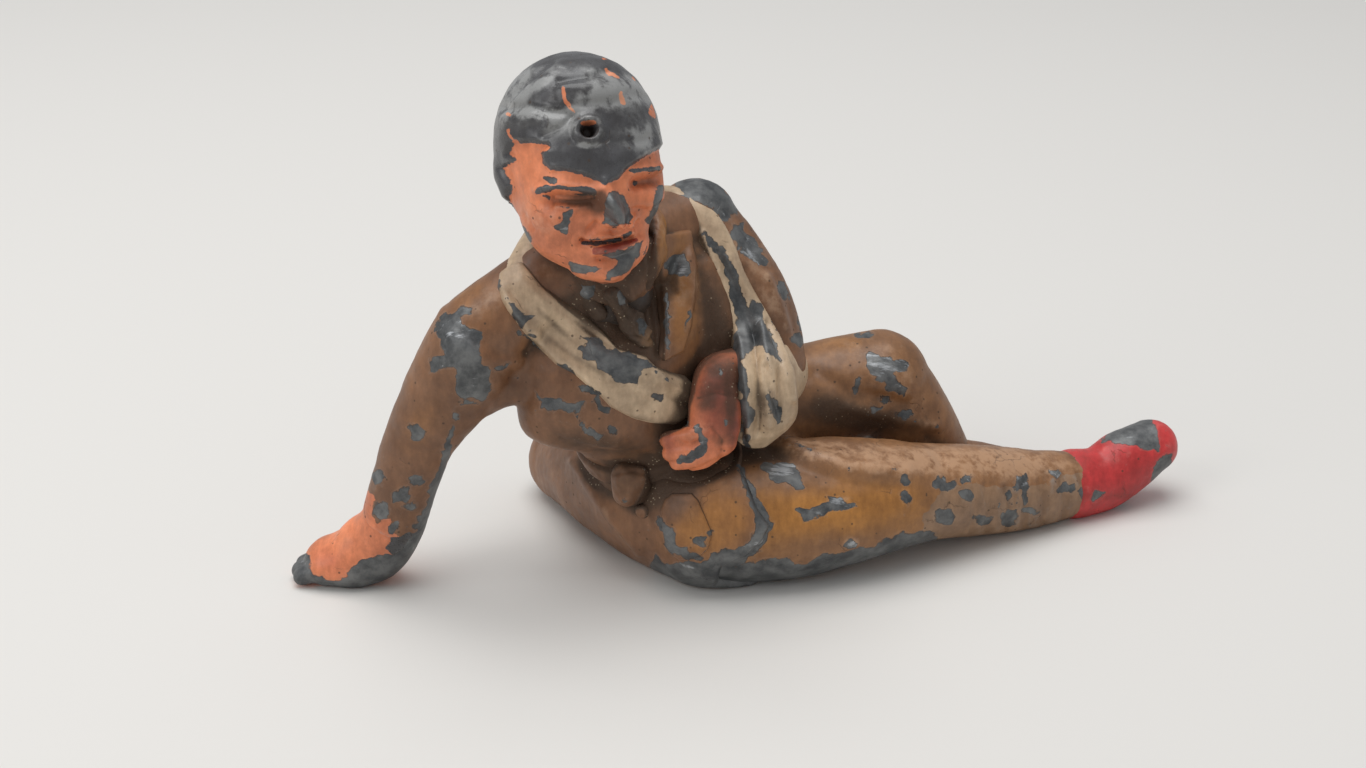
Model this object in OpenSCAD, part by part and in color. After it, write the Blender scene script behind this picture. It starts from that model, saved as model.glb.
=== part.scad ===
// Toy soldier figure, hollow-cast metal, seated on the ground with one arm in a sling.
// X runs towards the boots, Y away from the viewer, Z up. The origin is the centre of the
// flat resting face under the seat. Left and right are the figure's own.

/* [Stance] */
// Height of the neck base above the top of the seat
neck_over_seat = 10.3; // [9.9:0.1:10.8]
// Distance of the neck base from the seat centre, away from the boots
neck_back = 5.0; // [4.6:0.1:5.4]
// Distance of the neck base from the seat centre, towards the viewer
neck_near = 4.0; // [3.7:0.1:4.4]
// Depth of the waist's centre below the top of the seat
waist_under_seat = 0.4; // [0.1:0.1:0.7]
// Distance of the waist from the seat centre, away from the boots
waist_back = 2.2; // [1.9:0.1:2.5]
// Distance of the waist from the seat centre, towards the viewer
waist_near = 1.5; // [1.2:0.1:1.8]
// Turn of the shoulder line about the vertical, in degrees
chest_turn = 35; // [31:1:39]
// Rise of the shoulder line towards the left shoulder, in degrees
shoulder_angle = 14; // [12:1:16]

/* [Trunk] */
// Distance between the shoulder joints
shoulder_span = 15.4; // [14.8:0.1:16]
// Width of the chest under the arms
chest_width = 12.6; // [12:0.1:13.2]
// Depth of the chest from front to back
chest_depth = 8.6; // [8.2:0.1:9]
// Width of the waist
waist_width = 9.6; // [9.2:0.1:10]
// Depth of the waist
waist_depth = 8.4; // [8:0.1:8.8]
// Distance of the left buttock from the seat centre, away from the boots
buttock_back = 8.0; // [7.7:0.1:8.3]
// Distance of the left buttock from the seat centre, away from the viewer
buttock_far = 6.2; // [5.9:0.1:6.5]
// Distance of the right hip from the seat centre, towards the boots
hip_ahead = 1.2; // [0.9:0.1:1.5]
// Distance of the right hip from the seat centre, towards the viewer
hip_near = 4.2; // [3.9:0.1:4.5]
// Height of the seat above the ground
seat_height = 8.6; // [8.2:0.1:9]

/* [Head] */
// Width of the head over the hair
head_width = 9.2; // [8.8:0.1:9.6]
// Depth of the head from the brow to the back
head_depth = 10.4; // [10:0.1:10.8]
// Height of the head from the chin to the crown
head_height = 12.4; // [11.9:0.1:12.9]
// Thickness of the hair over the skull
hair_thick = 0.45; // [0.35:0.05:0.6]
// Diameter of the vent pit in the hair
vent_d = 0.9; // [0.7:0.1:1.1]
// Turn of the face towards the boots, in degrees
head_turn = 22; // [18:1:26]
// Lean of the head towards the right shoulder, in degrees
head_lean = 8; // [5:1:11]
// Lift of the face above the level, in degrees
head_lift = 9; // [6:1:12]
// Diameter of the neck
neck_d = 5.6; // [5.2:0.1:6]

/* [Right arm] */
// Distance of the right hand from the seat centre, away from the boots
hand_back = 20.7; // [20.2:0.1:21.2]
// Distance of the right hand from the seat centre, towards the viewer
hand_near = 5.4; // [5.1:0.1:5.7]
// Length of the hand on the ground
hand_length = 6.4; // [6:0.1:6.8]
// Width of the hand on the ground
hand_width = 4.4; // [4.1:0.1:4.7]
// Height of the hand at the knuckles
hand_thick = 3.1; // [2.9:0.1:3.3]
// Height of the cuff above the ground
cuff_height = 4.5; // [4.2:0.1:4.8]
// Diameter of the sleeve at the upper arm
upper_arm_d = 5.4; // [5.1:0.1:5.7]
// Diameter of the sleeve at the elbow
elbow_d = 4.3; // [4:0.1:4.6]
// Diameter of the sleeve at the cuff
cuff_d = 4.0; // [3.7:0.1:4.3]

/* [Left arm] */
// Distance of the left elbow from the seat centre, towards the boots
elbow_ahead = 5.0; // [4.7:0.1:5.3]
// Distance of the left elbow from the seat centre, towards the viewer
elbow_near = 1.0; // [0.8:0.1:1.3]
// Height of the left elbow above the top of the seat
elbow_over_seat = 4.0; // [3.7:0.1:4.3]
// Distance of the left wrist from the seat centre, towards the boots
wrist_ahead = 2.2; // [1.9:0.1:2.5]
// Distance of the left wrist from the seat centre, towards the viewer
wrist_near = 6.3; // [6:0.1:6.6]
// Height of the left wrist above the top of the seat
wrist_over_seat = 4.4; // [4.1:0.1:4.7]
// Length of the left hand from the wrist to the fingertips
fist_length = 4.6; // [4.3:0.1:4.9]
// Thickness of the left hand
fist_thick = 2.3; // [2.1:0.1:2.6]

/* [Right leg] */
// Distance of the right knee from the seat centre, towards the boots
right_knee_ahead = 14.6; // [14.2:0.1:15]
// Distance of the right knee from the seat centre, towards the viewer
right_knee_near = 1.2; // [1:0.1:1.4]
// Distance of the right ankle from the seat centre, towards the boots
right_ankle_ahead = 25.0; // [24.5:0.1:25.5]
// Distance of the right ankle from the seat centre, away from the viewer
right_ankle_far = 3.7; // [3.4:0.1:4]
// Diameter of the thigh at its middle
thigh_d = 8.6; // [8.2:0.1:9]
// Diameter of the leg at the knee
knee_d = 7.2; // [6.9:0.1:7.5]
// Height of the right knee's underside above the ground
knee_clear = 0.7; // [0.6:0.1:0.8]
// Diameter of the puttee at the calf
calf_d = 5.8; // [5.5:0.1:6.1]
// Diameter of the puttee at the ankle
ankle_d = 4.4; // [4.1:0.1:4.7]

/* [Left leg] */
// Distance of the raised knee from the seat centre, towards the boots
left_knee_ahead = 12.2; // [11.8:0.1:12.6]
// Distance of the raised knee from the seat centre, away from the viewer
left_knee_far = 5.6; // [5.3:0.1:5.9]
// Height of the middle of the raised knee above the ground
left_knee_height = 8.5; // [8.2:0.1:8.8]
// Distance of the left ankle from the seat centre, towards the boots
left_ankle_ahead = 16.8; // [16.4:0.1:17.2]
// Distance of the left ankle from the seat centre, away from the viewer
left_ankle_far = 5.5; // [5.2:0.1:5.8]

/* [Boots] */
// Length of a boot from the heel to the toe
boot_length = 7.6; // [7.2:0.1:8]
// Width of a boot at the ball of the foot
boot_width = 3.6; // [3.4:0.1:3.9]
// Height of a boot from the sole to the instep
boot_height = 4.3; // [4:0.1:4.6]

/* [Dress and kit] */
// Thickness of the sling over the tunic
sling_thick = 0.5; // [0.4:0.05:0.6]
// Width of the sling where it crosses the left arm
sling_width = 3.4; // [3.1:0.1:3.7]
// Height of the belt
belt_height = 1.2; // [1:0.1:1.4]
// How far the belt stands proud of the tunic
belt_proud = 0.3; // [0.2:0.05:0.4]
// Width of the belt pouch
pouch_width = 2.3; // [2.1:0.1:2.5]
// Height of the belt pouch
pouch_height = 2.6; // [2.4:0.1:2.8]
// How far the skirt of the tunic stands proud of the hips
skirt_proud = 0.4; // [0.3:0.05:0.5]
// Height of the collar
collar_height = 2.8; // [2.6:0.1:3]

/* [Casting] */
// Thickness of the cast wall round the hollow
wall = 1.6; // [1.4:0.1:1.8]
// Diameter of the flat resting disc under the seat
rest_d = 5.6; // [5.2:0.1:6]
// Height of the resting disc inside the seat
rest_thick = 0.9; // [0.8:0.1:1.1]
// Diameter of the pour hole through the resting disc
pour_d = 2.0; // [1.8:0.1:2.2]

/* [Hidden] */

// Overrun of every cutting solid
reach = 60;
// Facets round a limb, round a thin or small form, and round an exact disc or bore
facets = 14;
thin_facets = 10;
bore_facets = 48;
$fn = facets;

// Colours
flesh = [0.84, 0.47, 0.31];
tunic_brown = [0.52, 0.37, 0.26];
dark_brown = [0.33, 0.24, 0.17];
ochre = [0.62, 0.42, 0.22];
bandage = [0.74, 0.65, 0.52];
bare_metal = [0.33, 0.34, 0.35];
boot_red = [0.75, 0.25, 0.25];

// Points and directions

function mix(a, b, t) = a + (b - a) * t;
function heading(turn, rise) = [cos(rise) * cos(turn), cos(rise) * sin(turn), sin(rise)];
function tilt_of(v) = [0, acos(v[2] / norm(v)), atan2(v[1], v[0])];

across = heading(chest_turn, shoulder_angle);
front = heading(chest_turn - 90, 0);
chest_rot = [0, -shoulder_angle, chest_turn];
waist_at = [-waist_back, -waist_near, seat_height - waist_under_seat];
neck_at = [-neck_back, -neck_near, seat_height + neck_over_seat];
shoulder_mid = neck_at - front * (chest_depth * 0.18) - [0, 0, neck_d * 0.04];
right_shoulder = shoulder_mid - across * (shoulder_span / 2);
left_shoulder = shoulder_mid + across * (shoulder_span / 2);

// A station of a limb is its centre, its three radii and its turn, nine numbers in one list.
// The limb is a chain of hulls between ellipsoids on a smooth curve through its stations.

function station(at, radii, rot = [0, 0, 0]) = concat(at, radii, rot);
function ball(at, d) = station(at, [d, d, d] / 2);
function on_curve(s, i, t) =
    let (a = s[max(i - 1, 0)], b = s[i], c = s[i + 1], d = s[min(i + 2, len(s) - 1)])
    b + (c - a) * (t / 2) + (2 * a - 5 * b + 4 * c - d) * (t * t / 2)
    + (3 * b - a - 3 * c + d) * (t * t * t / 2);

module blob(s, grow) {
    translate([s[0], s[1], s[2]])
        rotate([s[6], s[7], s[8]])
            scale([s[3] + grow, s[4] + grow, s[5] + grow])
                sphere(1);
}

module chain(s, grow = 0, steps = 2) {
    for (i = [0:len(s) - 2], j = [0:steps - 1])
        hull() {
            blob(on_curve(s, i, j / steps), grow);
            blob(on_curve(s, i, (j + 1) / steps), grow);
        }
}

// The half space on the far side of a plane through a point, square to a direction
module beyond(at, direction) {
    translate(at)
        rotate(tilt_of(direction))
            translate([-reach, -reach, 0])
                cube([2 * reach, 2 * reach, 2 * reach]);
}

module above_ground() {
    intersection() {
        children();
        beyond([0, 0, 0], [0, 0, 1]);
    }
}

// Trunk and seat

buttock = [-buttock_back, buttock_far, 0];
right_hip = [hip_ahead, -hip_near, 0];
seat_mid = mix(buttock, right_hip, 0.68) + [0, 0, seat_height * 0.5];
seat_rot = [0, 0, atan2(buttock[1] - right_hip[1], buttock[0] - right_hip[0])];

trunk_stations = [
    station(seat_mid, [waist_width * 0.52, waist_depth * 0.52, seat_height * 0.42], seat_rot),
    station(waist_at, [waist_width, waist_depth, seat_height * 0.6] / 2, [0, 0, chest_turn]),
    station(mix(waist_at, neck_at, 0.4) - across * (chest_width * 0.09),
        [chest_width * 0.54, chest_depth * 0.5, chest_depth * 0.36], chest_rot),
    station(mix(waist_at, neck_at, 0.7) - across * (chest_width * 0.02),
        [chest_width * 0.56, chest_depth * 0.5, chest_depth * 0.36], chest_rot),
    station(mix(shoulder_mid, waist_at, 0.06), [shoulder_span * 0.43, chest_depth * 0.4, neck_d * 0.42],
        chest_rot),
    station(mix(neck_at, shoulder_mid, 0.5) + [0, 0, neck_d * 0.26], neck_d * [0.8, 0.6, 0.36], chest_rot)
];

seat_stations = [
    station(buttock + [0, 0, seat_height * 0.28], seat_height * [0.27, 0.28, 0.29], seat_rot),
    station(mix(buttock, right_hip, 0.32) + [0, 0, seat_height * 0.4], seat_height * [0.44, 0.44, 0.44],
        seat_rot),
    station(seat_mid - [0, 0, seat_height * 0.02], seat_height * [0.54, 0.54, 0.53], seat_rot),
    station(right_hip + [0, 0, seat_height * 0.46], seat_height * [0.48, 0.5, 0.5], seat_rot)
];

yoke_stations = [
    ball(right_shoulder + [0, 0, upper_arm_d * 0.06], upper_arm_d * 0.94),
    ball(mix(right_shoulder, neck_at, 0.5) + [0, 0, upper_arm_d * 0.34], upper_arm_d * 0.8),
    ball(neck_at + [0, 0, neck_d * 0.2], neck_d),
    ball(mix(left_shoulder, neck_at, 0.5) + [0, 0, upper_arm_d * 0.16], upper_arm_d * 0.84),
    ball(left_shoulder + [0, 0, upper_arm_d * 0.04], upper_arm_d * 0.9)
];

module trunk(grow = 0) {
    chain(trunk_stations, grow, 3);
    chain(yoke_stations, grow, 2);
}

left_hip = seat_mid + [thigh_d * 0.2, thigh_d * 0.4, seat_height * 0.12];
rear_stations = [
    station(buttock + [0, 0, seat_height * 0.28], seat_height * [0.27, 0.28, 0.29], seat_rot),
    ball(mix(buttock, [left_hip[0], left_hip[1], 0], 0.45) + [0, 0, seat_height * 0.44], seat_height * 0.84),
    ball(left_hip, thigh_d * 0.92)
];

module hips(grow = 0) {
    chain(seat_stations, grow, 3);
    chain(rear_stations, grow, 2);
}

module torso(grow = 0) {
    trunk(grow);
    hips(grow);
}

waist_dir = mix(waist_at, neck_at, 0.42) - seat_mid;

module hollow() {
    trunk_hollow = [for (i = [0:3]) trunk_stations[i]];
    chain(trunk_hollow, -wall, 2);
    chain(seat_stations, -wall, 2);
}

module tunic_body() {
    color(tunic_brown)
        difference() {
            intersection() {
                trunk();
                beyond(waist_at, waist_dir);
            }
            hollow();
            head_form();
        }
}

module breeches_seat() {
    color(ochre)
        above_ground()
            difference() {
                torso();
                beyond(waist_at, waist_dir);
                hollow();
                disc_clear();
            }
}

module disc_clear() {
    translate([0, 0, -rest_thick])
        cylinder(h = 2 * rest_thick, d = rest_d, $fn = bore_facets);
}

module rest_disc() {
    color(bare_metal)
        difference() {
            cylinder(h = rest_thick, d = rest_d, $fn = bore_facets);
            translate([0, rest_d * 0.25, -rest_thick])
                cylinder(h = 3 * rest_thick, d = pour_d, $fn = bore_facets);
        }
}

// Head

head_at = neck_at + [-head_width * 0.09, -head_depth * 0.3, head_height * 0.63];

module head_place() {
    translate(head_at)
        rotate([0, 0, head_turn])
            rotate([-head_lift, -head_lean, 0])
                children();
}

skull_w = head_width - 2 * hair_thick;
skull_d = head_depth - 2 * hair_thick;
skull_h = head_height - hair_thick;
skull = station([0, skull_d * 0.07, skull_h * 0.14], [skull_w * 0.5, skull_d * 0.48, skull_h * 0.37]);
face_stations = [
    skull,
    station([0, -skull_d * 0.08, -skull_h * 0.02], [skull_w * 0.49, skull_d * 0.38, skull_h * 0.3]),
    station([0, -skull_d * 0.13, -skull_h * 0.2], [skull_w * 0.45, skull_d * 0.31, skull_h * 0.22]),
    station([0, -skull_d * 0.2, -skull_h * 0.38], [skull_w * 0.28, skull_d * 0.2, skull_h * 0.12])
];
nose_stations = [
    station([0, -skull_d * 0.43, skull_h * 0.04], [skull_w * 0.06, skull_w * 0.05, skull_h * 0.05]),
    station([0, -skull_d * 0.5, -skull_h * 0.12], [skull_w * 0.08, skull_w * 0.09, skull_h * 0.05])
];

module face() {
    chain(face_stations, 0, 3);
    chain(nose_stations, 0, 2);
}

neck_stations = [
    ball(neck_at - [0, 0, neck_d * 0.3], neck_d),
    ball(mix(neck_at, head_at, 0.3), neck_d),
    ball(mix(neck_at, head_at, 0.62), neck_d)
];

module head_form() {
    chain(neck_stations);
    head_place()
        face();
}

module head() {
    color(flesh)
        head_form();
}

module hair() {
    color(bare_metal)
        difference() {
            head_place()
                intersection() {
                    union() {
                        blob(skull, hair_thick);
                        chain([for (i = [0:1]) face_stations[i]], hair_thick, 3);
                    }
                    union() {
                        beyond([0, -skull_d * 0.44, skull_h * 0.15], [0, 0.25, 1]);
                        beyond([0, skull_d * 0.06, 0], [0, 1, 0.2]);
                    }
                    beyond([0, 0, -skull_h * 0.3], [0, 0, 1]);
                }
            head_form();
            vent();
        }
}

vent_dir = [-0.04, -0.95, 0.42];

module vent() {
    head_place()
        translate([skull[0], skull[1], skull[2]])
            rotate(tilt_of(vent_dir))
                cylinder(h = head_height, d = vent_d);
}

// Right arm, which props the figure

hand_turn = -4;
hand_dir = heading(hand_turn + 180, 0);
hand_at = [-hand_back, -hand_near, 0];
heel_at = hand_at - hand_dir * (hand_length * 0.3);
cuff_at = [heel_at[0] + cuff_d * 0.2, heel_at[1] - cuff_d * 0.1, cuff_height];
right_elbow = mix(right_shoulder, cuff_at, 0.5) - [elbow_d * 0.15, elbow_d * 0.07, 0];

right_arm = [
    ball(right_shoulder, upper_arm_d * 1.08),
    ball(mix(right_shoulder, right_elbow, 0.45), upper_arm_d),
    ball(right_elbow, elbow_d),
    ball(mix(right_elbow, cuff_at, 0.5), (elbow_d + cuff_d) / 2),
    ball(cuff_at, cuff_d),
    ball(mix(cuff_at, [heel_at[0], heel_at[1], 0], 0.4), cuff_d)
];
forearm_dir = cuff_at - right_elbow;

// Cloth of the armpit, from the upper arm to the side of the chest
armpit = [
    ball(mix(right_shoulder, right_elbow, 0.7), elbow_d * 0.85),
    ball(right_shoulder + upper_arm_d * [0.19, 0.13, -0.52], upper_arm_d * 0.72),
    ball(right_shoulder + upper_arm_d * [0.6, 0.25, -0.62], upper_arm_d * 0.7)
];

module right_sleeve() {
    color(tunic_brown)
        difference() {
            union() {
                chain(right_arm);
                chain(armpit);
            }
            torso();
            beyond(cuff_at, forearm_dir);
        }
}

module right_hand() {
    color(flesh)
        above_ground()
            intersection() {
                union() {
                    chain([
                        ball(cuff_at, cuff_d * 0.86),
                        station(heel_at + [0, 0, hand_thick * 0.8],
                            [hand_width * 0.42, hand_width * 0.42, hand_thick * 0.8], [0, 0, hand_turn]),
                        station(hand_at + [0, 0, hand_thick * 0.42],
                            [hand_width * 0.45, hand_width * 0.48, hand_thick * 0.6], [0, 0, hand_turn])
                    ]);
                    for (i = [0:len(finger_shares) - 1])
                        finger(i, $fn = thin_facets);
                }
                beyond(cuff_at, forearm_dir);
            }
}

finger_shares = [0.92, 1, 0.97, 0.85];

module finger(i) {
    side = heading(hand_turn + 90, 0) * (hand_width * (0.24 * i - 0.36));
    tip = hand_at + hand_dir * (hand_length * 0.5 * finger_shares[i]);
    d = hand_width * 0.27;
    chain([
        ball(hand_at + side + [0, 0, hand_thick * 0.55], d),
        ball(mix(hand_at, tip, 0.5) + side * 0.9 + [0, 0, hand_thick * 0.42], d),
        ball(tip + side * 0.7 + [0, 0, d * 0.4], d * 0.85)
    ], 0, 1);
}

// Left arm, which lies in the sling

left_elbow = [elbow_ahead, -elbow_near, seat_height + elbow_over_seat];
left_wrist = [wrist_ahead, -wrist_near, seat_height + wrist_over_seat];
fist_dir = [-0.5, -0.2, -0.84];

left_arm = [
    ball(left_shoulder, upper_arm_d * 0.98),
    ball(mix(left_shoulder, left_elbow, 0.5) + [upper_arm_d * 0.12, 0, 0], upper_arm_d * 0.95),
    ball(left_elbow, elbow_d * 1.1),
    ball(mix(left_elbow, left_wrist, 0.5), elbow_d * 0.95)
];

module left_sleeve() {
    color(tunic_brown)
        difference() {
            chain(left_arm);
            torso();
            left_hand_form();
        }
}

module left_hand_form() {
    chain([
        ball(mix(left_elbow, left_wrist, 0.6), cuff_d * 0.94),
        ball(left_wrist, cuff_d * 0.9),
        station(left_wrist + fist_dir * (fist_length * 0.45) - [0, fist_thick * 0.3, 0],
            fist_thick * [0.85, 0.55, 0.65]),
        station(left_wrist + fist_dir * (fist_length * 0.95) - [0, fist_thick * 0.24, 0],
            fist_thick * [0.7, 0.42, 0.45])
    ], 0, 3);
}

module left_hand() {
    color(flesh)
        difference() {
            left_hand_form();
            torso();
            strap_left_form();
        }
}

// Legs. A leg that lies on the ground is flattened where it rests.

lie = 0.3;
function lying(x, y, d) = ball([x, y, d / 2 - lie], d);

// The same, with its underside lifted and its top kept
function raised(x, y, d, lift) = ball([x, y, (d + lift) / 2 - lie], d - lift);

right_knee = [right_knee_ahead, -right_knee_near];
right_ankle = [right_ankle_ahead, right_ankle_far];
left_knee = [left_knee_ahead, left_knee_far, left_knee_height];
left_ankle = [left_ankle_ahead, left_ankle_far];

right_thigh_stations = [
    lying(right_hip[0], right_hip[1], thigh_d * 0.98),
    lying(mix(right_hip[0], right_knee[0], 0.33), mix(right_hip[1], right_knee[1], 0.1), thigh_d),
    raised(mix(right_hip[0], right_knee[0], 0.66), mix(right_hip[1], right_knee[1], 0.45), thigh_d * 0.97,
        knee_clear * 0.8),
    raised(right_knee[0], right_knee[1], knee_d, knee_clear + lie)
];
right_calf_stations = [
    raised(right_knee[0], right_knee[1], knee_d * 0.97, knee_clear + lie),
    raised(mix(right_knee[0], right_ankle[0], 0.35), mix(right_knee[1], right_ankle[1], 0.38),
        mix(knee_d, calf_d, 0.7), knee_clear * 0.6),
    lying(mix(right_knee[0], right_ankle[0], 0.65), mix(right_knee[1], right_ankle[1], 0.68), calf_d * 0.9),
    lying(right_ankle[0], right_ankle[1], ankle_d)
];
left_thigh_stations = [
    ball(left_hip, thigh_d * 0.9),
    ball(mix(left_hip, left_knee, 0.5) + [0, 0, thigh_d * 0.04], thigh_d * 0.86),
    ball(left_knee, knee_d * 0.92)
];
left_calf_stations = [
    ball(left_knee, knee_d * 0.88),
    ball(mix(left_knee, [left_ankle[0], left_ankle[1], ankle_d / 2], 0.5), calf_d),
    lying(left_ankle[0], left_ankle[1], ankle_d)
];

module right_thigh_form(grow = 0) {
    chain(right_thigh_stations, grow, 3);
}

module left_thigh_form() {
    chain(left_thigh_stations, 0, 4);
}

module right_calf_form() {
    chain(right_calf_stations, 0, 3);
}

module left_calf_form() {
    chain(left_calf_stations, 0, 4);
}

module right_thigh() {
    color(ochre)
        above_ground()
            difference() {
                right_thigh_form();
                torso();
                disc_clear();
                scrap_clear();
            }
}

// Clears the scrap of the thigh left between the round of the hips and its own start
module scrap_clear() {
    beyond([hip_ahead * 0.6, 0, 0], [-1, 0, 0]);
}

module left_thigh() {
    color(ochre)
        difference() {
            left_thigh_form();
            torso();
            right_thigh_form();
        }
}

module right_puttee() {
    color(tunic_brown)
        above_ground()
            difference() {
                right_calf_form();
                right_thigh_form();
                left_thigh_form();
            }
}

module left_puttee() {
    color(tunic_brown)
        above_ground()
            difference() {
                left_calf_form();
                left_thigh_form();
                right_thigh_form();
                right_calf_form();
            }
}

right_boot_turn = 22;
right_boot_lift_share = 0.22;
left_boot_turn = -8;
left_boot_lift_share = -0.12;

module boot(ankle, turn, lift) {
    translate([ankle[0], ankle[1], ankle_d / 2 - lie])
        rotate([0, 0, turn])
            chain([
                ball([0, 0, 0], ankle_d * 1.08),
                ball([boot_length * 0.26, 0, 0], boot_height),
                station([boot_length * 0.5, 0, boot_length * 0.5 * lift],
                    [boot_height * 0.5, boot_width * 0.56, boot_height * 0.52]),
                station([boot_length * 0.76, 0, boot_length * lift],
                    [boot_height * 0.42, boot_width * 0.5, boot_height * 0.42])
            ], 0, 3);
}

module right_boot() {
    color(boot_red)
        above_ground()
            difference() {
                boot(right_ankle, right_boot_turn, right_boot_lift_share);
                right_calf_form();
            }
}

module left_boot() {
    color(boot_red)
        above_ground()
            difference() {
                boot(left_ankle, left_boot_turn, left_boot_lift_share);
                left_calf_form();
                right_calf_form();
            }
}

// Dress and kit. Each lies on the body like a sheet of its own thickness: the body grown by
// that thickness, kept inside an outline, less the body itself.

module arms(grow = 0) {
    chain(right_arm, grow);
    chain(left_arm, grow);
}

// The chest's own frame: X across to the left shoulder, Y to the back, Z up from the neck base
module on_chest() {
    translate(neck_at)
        rotate(chest_rot)
            children();
}

module chest_outline(points) {
    on_chest()
        rotate([90, 0, 0])
            linear_extrude(reach)
                polygon(points * (chest_width / 2));
}

strap_right_shares = [[-0.84, 0.8], [-0.7, 0.38], [-0.42, -0.1], [-0.27, -0.29], [-0.03, -0.56],
    [0.32, -0.85], [0.3, -1.2], [-0.17, -1.22], [-0.44, -0.98], [-0.62, -0.71], [-0.76, -0.43],
    [-0.87, -0.08], [-0.96, 0.32], [-1.05, 0.8]];
lapel_shares = [[0.84, 0.3], [0.96, -0.12], [0.68, -0.36], [0.42, -0.7], [0.12, -0.8], [0, -0.58],
    [0.28, -0.2]];
tie_shares = [[-0.16, 0.3], [0.12, 0.3], [0.1, -0.28], [-0.02, -0.56], [-0.18, -0.3]];

module sling_strap_right() {
    color(bandage)
        difference() {
            union() {
                intersection() {
                    union() {
                        torso(sling_thick);
                        arms(sling_thick);
                    }
                    chest_outline(strap_right_shares);
                    beyond(shoulder_mid, front);
                }
                chain(strap_back_stations, $fn = thin_facets);
            }
            torso();
            arms();
            left_hand_form();
            head_form();
            collar_form();
            strap_left_form();
        }
}

nape_at = neck_at - front * (neck_d * 0.62) + [0, 0, neck_d * 0.5];
nape_station = station(nape_at, [sling_width * 0.3, sling_thick, sling_width * 0.26], chest_rot);
strap_top = mix(right_shoulder, neck_at, 0.36) + upper_arm_d * [0, -0.06, 0.64];
strap_back_stations = [
    nape_station,
    station(mix(nape_at, strap_top, 0.6) + [0, upper_arm_d * 0.2, upper_arm_d * 0.14],
        [sling_width * 0.3, sling_width * 0.24, sling_thick * 1.6], chest_rot),
    station(strap_top, [sling_width * 0.34, sling_width * 0.26, sling_thick], chest_rot),
    station(strap_top + upper_arm_d * [0.05, -0.3, -0.2],
        [sling_width * 0.36, sling_thick * 1.2, sling_width * 0.2], chest_rot)
];

strap_rot = [0, 0, 15];
strap_left_stations = [
    nape_station,
    station(left_shoulder + upper_arm_d * [-0.4, -0.02, 0.42],
        [sling_width * 0.3, sling_thick, sling_width * 0.3], strap_rot),
    station(left_shoulder + upper_arm_d * [-0.13, -0.26, 0.4],
        [sling_width * 0.32, sling_thick, sling_width * 0.3], strap_rot),
    station(left_shoulder + upper_arm_d * [0.14, -0.47, 0.08],
        [sling_width * 0.33, sling_thick, sling_width * 0.3], strap_rot),
    station(mix(left_shoulder, left_elbow, 0.3) + upper_arm_d * [0.1, -0.53, 0.02],
        [sling_width * 0.35, sling_thick, sling_width * 0.3], strap_rot),
    station(mix(left_shoulder, left_elbow, 0.65) + upper_arm_d * [0.05, -0.55, 0],
        [sling_width * 0.43, sling_thick * 1.3, sling_width * 0.3], strap_rot),
    station(left_elbow + elbow_d * [-0.17, -1.12, 0.3],
        [sling_width * 0.48, sling_thick * 1.8, sling_width * 0.3], strap_rot),
    station(left_elbow + elbow_d * [-0.12, -1.1, -0.26],
        [sling_width * 0.56, sling_thick * 2.4, sling_width * 0.3], strap_rot),
    station(left_elbow + elbow_d * [-0.3, -1, -0.66],
        [sling_width * 0.4, sling_thick * 1.8, sling_width * 0.2], strap_rot)
];

module strap_left_form() {
    chain(strap_left_stations, $fn = thin_facets);
}

module sling_strap_left() {
    color(bandage)
        difference() {
            strap_left_form();
            torso();
            arms();
            head_form();
            collar_form();
        }
}

cradle_drop = [0, 0, elbow_d * 0.16];
cradle_stations = [
    ball(left_elbow - cradle_drop, elbow_d * 1.1 + sling_thick),
    ball(mix(left_elbow, left_wrist, 0.4) - cradle_drop, elbow_d + 2 * sling_thick),
    ball(mix(left_elbow, left_wrist, 0.72) - cradle_drop, elbow_d * 0.93 + sling_thick)
];

module cradle_form() {
    chain(cradle_stations, 0, 3, $fn = thin_facets);
}

module sling_cradle() {
    color(bandage)
        difference() {
            cradle_form();
            torso();
            arms();
            left_hand_form();
            strap_left_form();
            left_thigh_form();
            beyond(left_elbow + [0, 0, elbow_d * 0.42], [0, 0, 1]);
        }
}

collar_mid = mix(neck_at, shoulder_mid, 0.2) + [0, 0, neck_d * 0.3];
collar_steps = 14;
collar_stations = [
    for (i = [0:collar_steps])
        let (a = i * 360 / collar_steps)
        station(collar_mid + neck_d * (across * (0.58 * cos(a)) - front * (0.58 * sin(a))
                + [0, 0, 0.16 * sin(a) + 0.14 * abs(cos(a))]),
            [neck_d * 0.14, neck_d * 0.14, collar_height / 2])
];

module collar_form() {
    chain(collar_stations, 0, 1, $fn = thin_facets);
}

module collar() {
    color(dark_brown)
        difference() {
            collar_form();
            torso();
            arms();
            head_form();
        }
}

knot_stations = [
    station([-chest_width * 0.015, -chest_depth * 0.4, chest_width * 0.03], neck_d * [0.13, 0.1, 0.16]),
    station([-chest_width * 0.025, -chest_depth * 0.4, -chest_width * 0.1], neck_d * [0.1, 0.13, 0.12])
];

module tie() {
    color(dark_brown)
        difference() {
            union() {
                intersection() {
                    torso(belt_proud);
                    chest_outline(tie_shares);
                }
                on_chest()
                    chain(knot_stations, 0, 1);
            }
            torso();
            head_form();
            collar_form();
            chest_outline(strap_right_shares);
        }
}

module tunic_lapel() {
    color(ochre)
        difference() {
            intersection() {
                torso(belt_proud);
                chest_outline(lapel_shares);
            }
            torso();
            arms();
            head_form();
            collar_form();
            left_hand_form();
            chest_outline(strap_right_shares);
            chest_outline(tie_shares);
            strap_left_form();
            cradle_form();
        }
}

belt_at = waist_at;
function unit(v) = v / norm(v);

module belt_slab(height) {
    translate(belt_at)
        rotate(tilt_of(waist_dir))
            cylinder(h = height, r = reach, center = true);
}

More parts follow.
